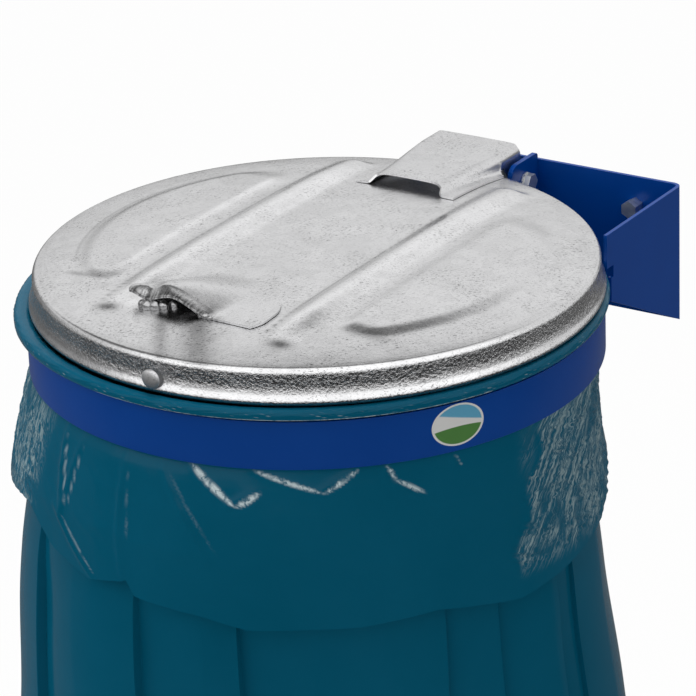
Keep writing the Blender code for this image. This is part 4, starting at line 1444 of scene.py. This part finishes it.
    def build(self, film: bpy.types.Material, crinkled: bpy.types.Material) -> None:
        """Model and dress the cuff and the sack proper.

        Args:
            film: Finish of the sack proper.
            crinkled: Finish of the cuff.
        """
        cuff = draped("sack_cuff", 640, 150, self.cuff)
        smooth(cuff, 80)
        self.store_sheen_and_glints(cuff)
        self.add(cuff, crinkled, "bin_bag")
        sack = draped("sack_film", 720, 130, self.hang)
        smooth(sack, 50)
        self.add(sack, film, "bin_bag")


@dataclass
class Label(Assembly):
    """Oval sticker on the band with a plain landscape of flat colours."""

    angle: float = 60.3
    wide: float = 0.044
    high: float = 0.0335
    level: float = -0.0268
    radius: float = 0.2266
    aside: float = 0.0020

    def form(self, u: np.ndarray, v: np.ndarray) -> np.ndarray:
        """Oval patch that lies round the band.

        Args:
            u: Places round the oval.
            v: Places from its middle to its edge.

        Returns:
            Points.
        """
        around = 2 * math.pi * u
        across = self.wide / 2 * v * np.cos(around)
        up = self.high / 2 * v * np.sin(around)
        turn = math.radians(self.angle) + across / self.radius
        aside_x, aside_y = slid(self.aside)
        return self.points(self.radius * np.sin(turn) + aside_x, aside_y - self.radius * np.cos(turn),
                           self.level + up)

    def material(self) -> bpy.types.Material:
        """Print flat fields of sky, cloud and grass with a pale rim.

        Returns:
            The material.
        """
        made, graph = new_material("label_print")
        grid = graph.node("ShaderNodeUVMap", {"uv_map": "UVMap"})
        around = graph.node("ShaderNodeSeparateXYZ", {}, {"Vector": grid}, "X")
        far = graph.node("ShaderNodeSeparateXYZ", {}, {"Vector": grid}, "Y")
        angle = around * (2 * math.pi)
        height = far * graph.node("ShaderNodeMath", {"operation": "SINE"}, {0: angle})
        side = far * graph.node("ShaderNodeMath", {"operation": "COSINE"}, {0: angle})
        hill = height + side * side * 0.12 + 0.10
        grass = graph.ramp(hill, (0.0, 1.0), (0.02, 0.0))
        cloud = graph.ramp(height + side * 0.35, (0.30, 1.0), (0.36, 0.0))
        rim = graph.ramp(far, (0.90, 0.0), (0.93, 1.0))
        sky = graph.mix(cloud, (0.12, 0.42, 0.62, 1), (0.80, 0.80, 0.78, 1))
        land = graph.mix(grass, sky, (0.09, 0.26, 0.06, 1))
        graph.shade({"Base Color": graph.mix(rim, land, (0.8, 0.8, 0.78, 1)), "Roughness": 0.3})
        return made

    def build(self) -> None:
        """Model and dress the sticker."""
        piece = draped("ring_label", 64, 10, self.form)
        smooth(piece, 60)
        self.add(piece, self.material(), slot="blue_paint")


class Studio:
    """Floor, backdrop light, lamps and camera."""

    AZIMUTH = VIEW_TURN
    ELEVATION = math.radians(23.22)
    ROLL = math.radians(-2.17)
    DISTANCE = 3.0317
    ASIDE = 0.0237
    ABOVE = -0.0440
    FOCAL_PIXELS = 3876.4
    PICTURE = 696
    SENSOR = 36.0
    FLOOR_BELOW = 0.25

    def __init__(self, centre: Vector, rim: float, low: float) -> None:
        """Work out the camera's axes.

        Args:
            centre: Middle of the lid, at height 0.
            rim: Level of the lid's lower edge.
            low: The object's lowest level.
        """
        self.target = Vector((centre.x, centre.y, rim))
        self.low = low
        cos, sin = math.cos(self.ELEVATION), math.sin(self.ELEVATION)
        self.ahead = Vector((math.sin(self.AZIMUTH), -math.cos(self.AZIMUTH), 0))
        self.back = Vector((math.sin(self.AZIMUTH) * cos, -math.cos(self.AZIMUTH) * cos, sin))
        side = Vector((math.cos(self.AZIMUTH), math.sin(self.AZIMUTH), 0))
        above = self.back.cross(side)
        self.side = side * math.cos(self.ROLL) + above * math.sin(self.ROLL)
        self.above = above * math.cos(self.ROLL) - side * math.sin(self.ROLL)
        self.aside = side

    def camera(self) -> None:
        """Set the camera where the photograph was taken."""
        data = bpy.data.cameras.new("camera")
        data.sensor_width = self.SENSOR
        data.lens = self.FOCAL_PIXELS * self.SENSOR / self.PICTURE
        data.clip_start, data.clip_end = 0.1, 60.0
        camera = bpy.data.objects.new("camera", data)
        bpy.context.collection.objects.link(camera)
        camera.rotation_mode = "QUATERNION"
        axes = Matrix((self.side, self.above, self.back)).transposed()
        camera.rotation_quaternion = axes.to_quaternion()
        camera.location = (self.target + self.back * self.DISTANCE + self.side * self.ASIDE
                           + self.above * self.ABOVE)
        bpy.context.scene.camera = camera

    def floor(self) -> None:
        """Lay a pale floor well below the object, as the object hangs on a wall.

        It mirrors as dark in front of the object, where the photograph's room is dark.
        """
        select_none()
        bpy.ops.mesh.primitive_plane_add(size=60, location=(0, 0, self.low - self.FLOOR_BELOW))
        floor = name_new("floor")
        made, graph = new_material("pale_floor")
        seen, shiny = graph.rays("Camera"), graph.rays("Glossy")
        ahead = graph.dot(graph.node("ShaderNodeTexCoord", output="Object"), self.ahead)
        front = graph.ramp(ahead * 0.25, (0.0, 0.0), (0.12, 1.0))
        mirrored = 0.16 * (1 - front) + front * 0.04
        matt = graph.node("ShaderNodeBsdfDiffuse", {}, {"Color": (0.8, 0.8, 0.8, 1)})
        glow = graph.node("ShaderNodeEmission", {}, {"Color": (1, 1, 1, 1),
                                                     "Strength": seen + (1 - seen) * mirrored})
        graph.finish("ShaderNodeOutputMaterial",
                     graph.node("ShaderNodeMixShader", {}, {0: seen * 0.97 + shiny, 1: matt, 2: glow}))
        dress(floor, made)
        floor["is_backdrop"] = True

    def world(self) -> None:
        """Light the set: white to the camera, and darker toward some sides in the metal's mirror."""
        world = bpy.data.worlds.new("studio")
        bpy.context.scene.world = world
        world.use_nodes = True
        graph = Graph(world.node_tree)
        seen, shiny = graph.rays("Camera"), graph.rays("Glossy")
        way = graph.node("ShaderNodeTexCoord", output="Generated")
        ahead, aside = graph.dot(way, self.ahead), graph.dot(way, -self.aside)
        height = graph.node("ShaderNodeSeparateXYZ", {}, {"Vector": way}, "Z")
        # Toward the camera: bright above, dark near the floor.
        front = graph.ramp(ahead, (0.0, 0.0), (0.15, 1.0))
        low = graph.ramp(height, (0.04, 1.0), (0.24, 0.0))
        # Away from it: a backdrop, and above it a dark gap that the left side has too.
        left = graph.ramp(aside, (0.1, 0.0), (0.5, 1.0)) * graph.ramp(height, (0.15, 1.0), (0.40, 0.0))
        right = graph.ramp(0 - aside, (0.25, 0.0), (0.50, 1.0))
        backdrop = graph.ramp(height, (0.05, 0.66), (0.25, 0.80), (0.40, 0.90), (0.52, 1.0),
                              (0.60, 0.92))
        behind = graph.ramp(0 - ahead, (0.18, 0.0), (0.36, 1.0))
        behind = behind * graph.ramp(height, (0.62, 0.0), (0.72, 0.4), (0.82, 1.0))
        flank = graph.ramp(aside, (0.22, 0.0), (0.45, 1.0))
        flank = flank * graph.ramp(height, (0.42, 0.0), (0.60, 1.0))
        gap = graph.node("ShaderNodeMath", {"operation": "MAXIMUM"}, {0: behind, 1: flank})
        gap = gap * (1 - right)
        level = 0.92 + front * (0.58 - low * 1.46) - (1 - front) * (left * 0.40 + gap * 0.80)
        level = level + (1 - front) * (1 - right) * (backdrop * 1.06 - 0.95)
        # Matt surfaces see one soft level that falls off to the right.
        soft = 0.66 - 0.40 * graph.ramp(0 - aside, (0.1, 0.0), (0.7, 1.0))
        strength = seen + (1 - seen) * (level * shiny + (1 - shiny) * soft)
        light = graph.node("ShaderNodeBackground", {}, {"Color": (1, 1, 1, 1), "Strength": strength})
        graph.finish("ShaderNodeOutputWorld", light)

    def lamp(self, name: str, place: Vector, size: float, power: float) -> None:
        """Add a soft lamp that looks at the lid. The metal mirrors the backdrop, and not the lamp.

        Args:
            name: Name of the lamp.
            place: Where it hangs, from the middle of the lid.
            size: Side of its square.
            power: Watts.
        """
        data = bpy.data.lights.new(name, "AREA")
        data.size = size
        data.energy = power
        lamp = bpy.data.objects.new(name, data)
        bpy.context.collection.objects.link(lamp)
        lamp.location = self.target + place
        lamp.rotation_mode = "QUATERNION"
        lamp.rotation_quaternion = place.to_track_quat("Z", "Y")
        lamp.visible_glossy = False

    def build(self) -> None:
        """Set up the whole studio."""
        self.camera()
        self.floor()
        self.world()
        self.lamp("top_light", Vector((-0.4, 0.3, 2.2)), 1.6, 26)
        self.lamp("left_light", Vector((-2.4, -0.9, 0.9)), 1.2, 10)
        self.lamp("right_light", Vector((2.6, 0.4, 0.8)), 1.2, 3)
        bpy.context.scene.view_settings.view_transform = "Standard"


def main() -> None:
    """Build the sub-assemblies in order."""
    logging.basicConfig(level=logging.INFO, format="%(message)s")
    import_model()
    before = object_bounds()
    low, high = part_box("lid")
    centre = Vector(((low.x + high.x) / 2, (low.y + high.y) / 2, 0))
    rim = low.z

    Studio(centre, rim, before[0].z).build()

    zinc = Galvanised("galvanised_lid").material()
    heavy = Galvanised("galvanised_sheet", 0.68, 0.30, 1.2).material()
    paint = Paint("blue_powder_coat").material()
    plated = Plated("plated_steel").material()

    lid = Lid(centre, rim, "lid")
    lid.build(zinc)
    Grip(centre, rim, "lid", lid=lid).build(zinc)
    Hood(centre, rim, "lid", lid=lid).build(heavy)
    Rings(centre, rim, "holder").build(paint)
    film, crinkled = Film("sack_film", crinkle=0.5).material(), Film("cuff_film").material()
    Sack(centre, rim, "holder").build(film, crinkled)
    Label(centre, rim, "holder").build()

    for name in ("wall_bracket", "hinge_ear_left", "hinge_ear_right"):
        dress_node(name, paint)
    for name in ("hinge_bolt", "hinge_nut", "hinge_washer_left", "hinge_washer_right", "hinge_sleeve",
                 "wall_bolt_1", "wall_bolt_2", "wall_bolt_3", "wall_nut_1", "wall_nut_2", "wall_nut_3"):
        dress_node(name, plated)
    dress_node("hinge_saddle", heavy)
    nylon = Plain("black_nylon", 0.03, 0.5).material()
    for name in ("hinge_bush_left", "hinge_bush_right"):
        dress_node(name, nylon)
    dress_node("lid_buffer", Plain("black_rubber").material())


if __name__ == "__main__":
    main()
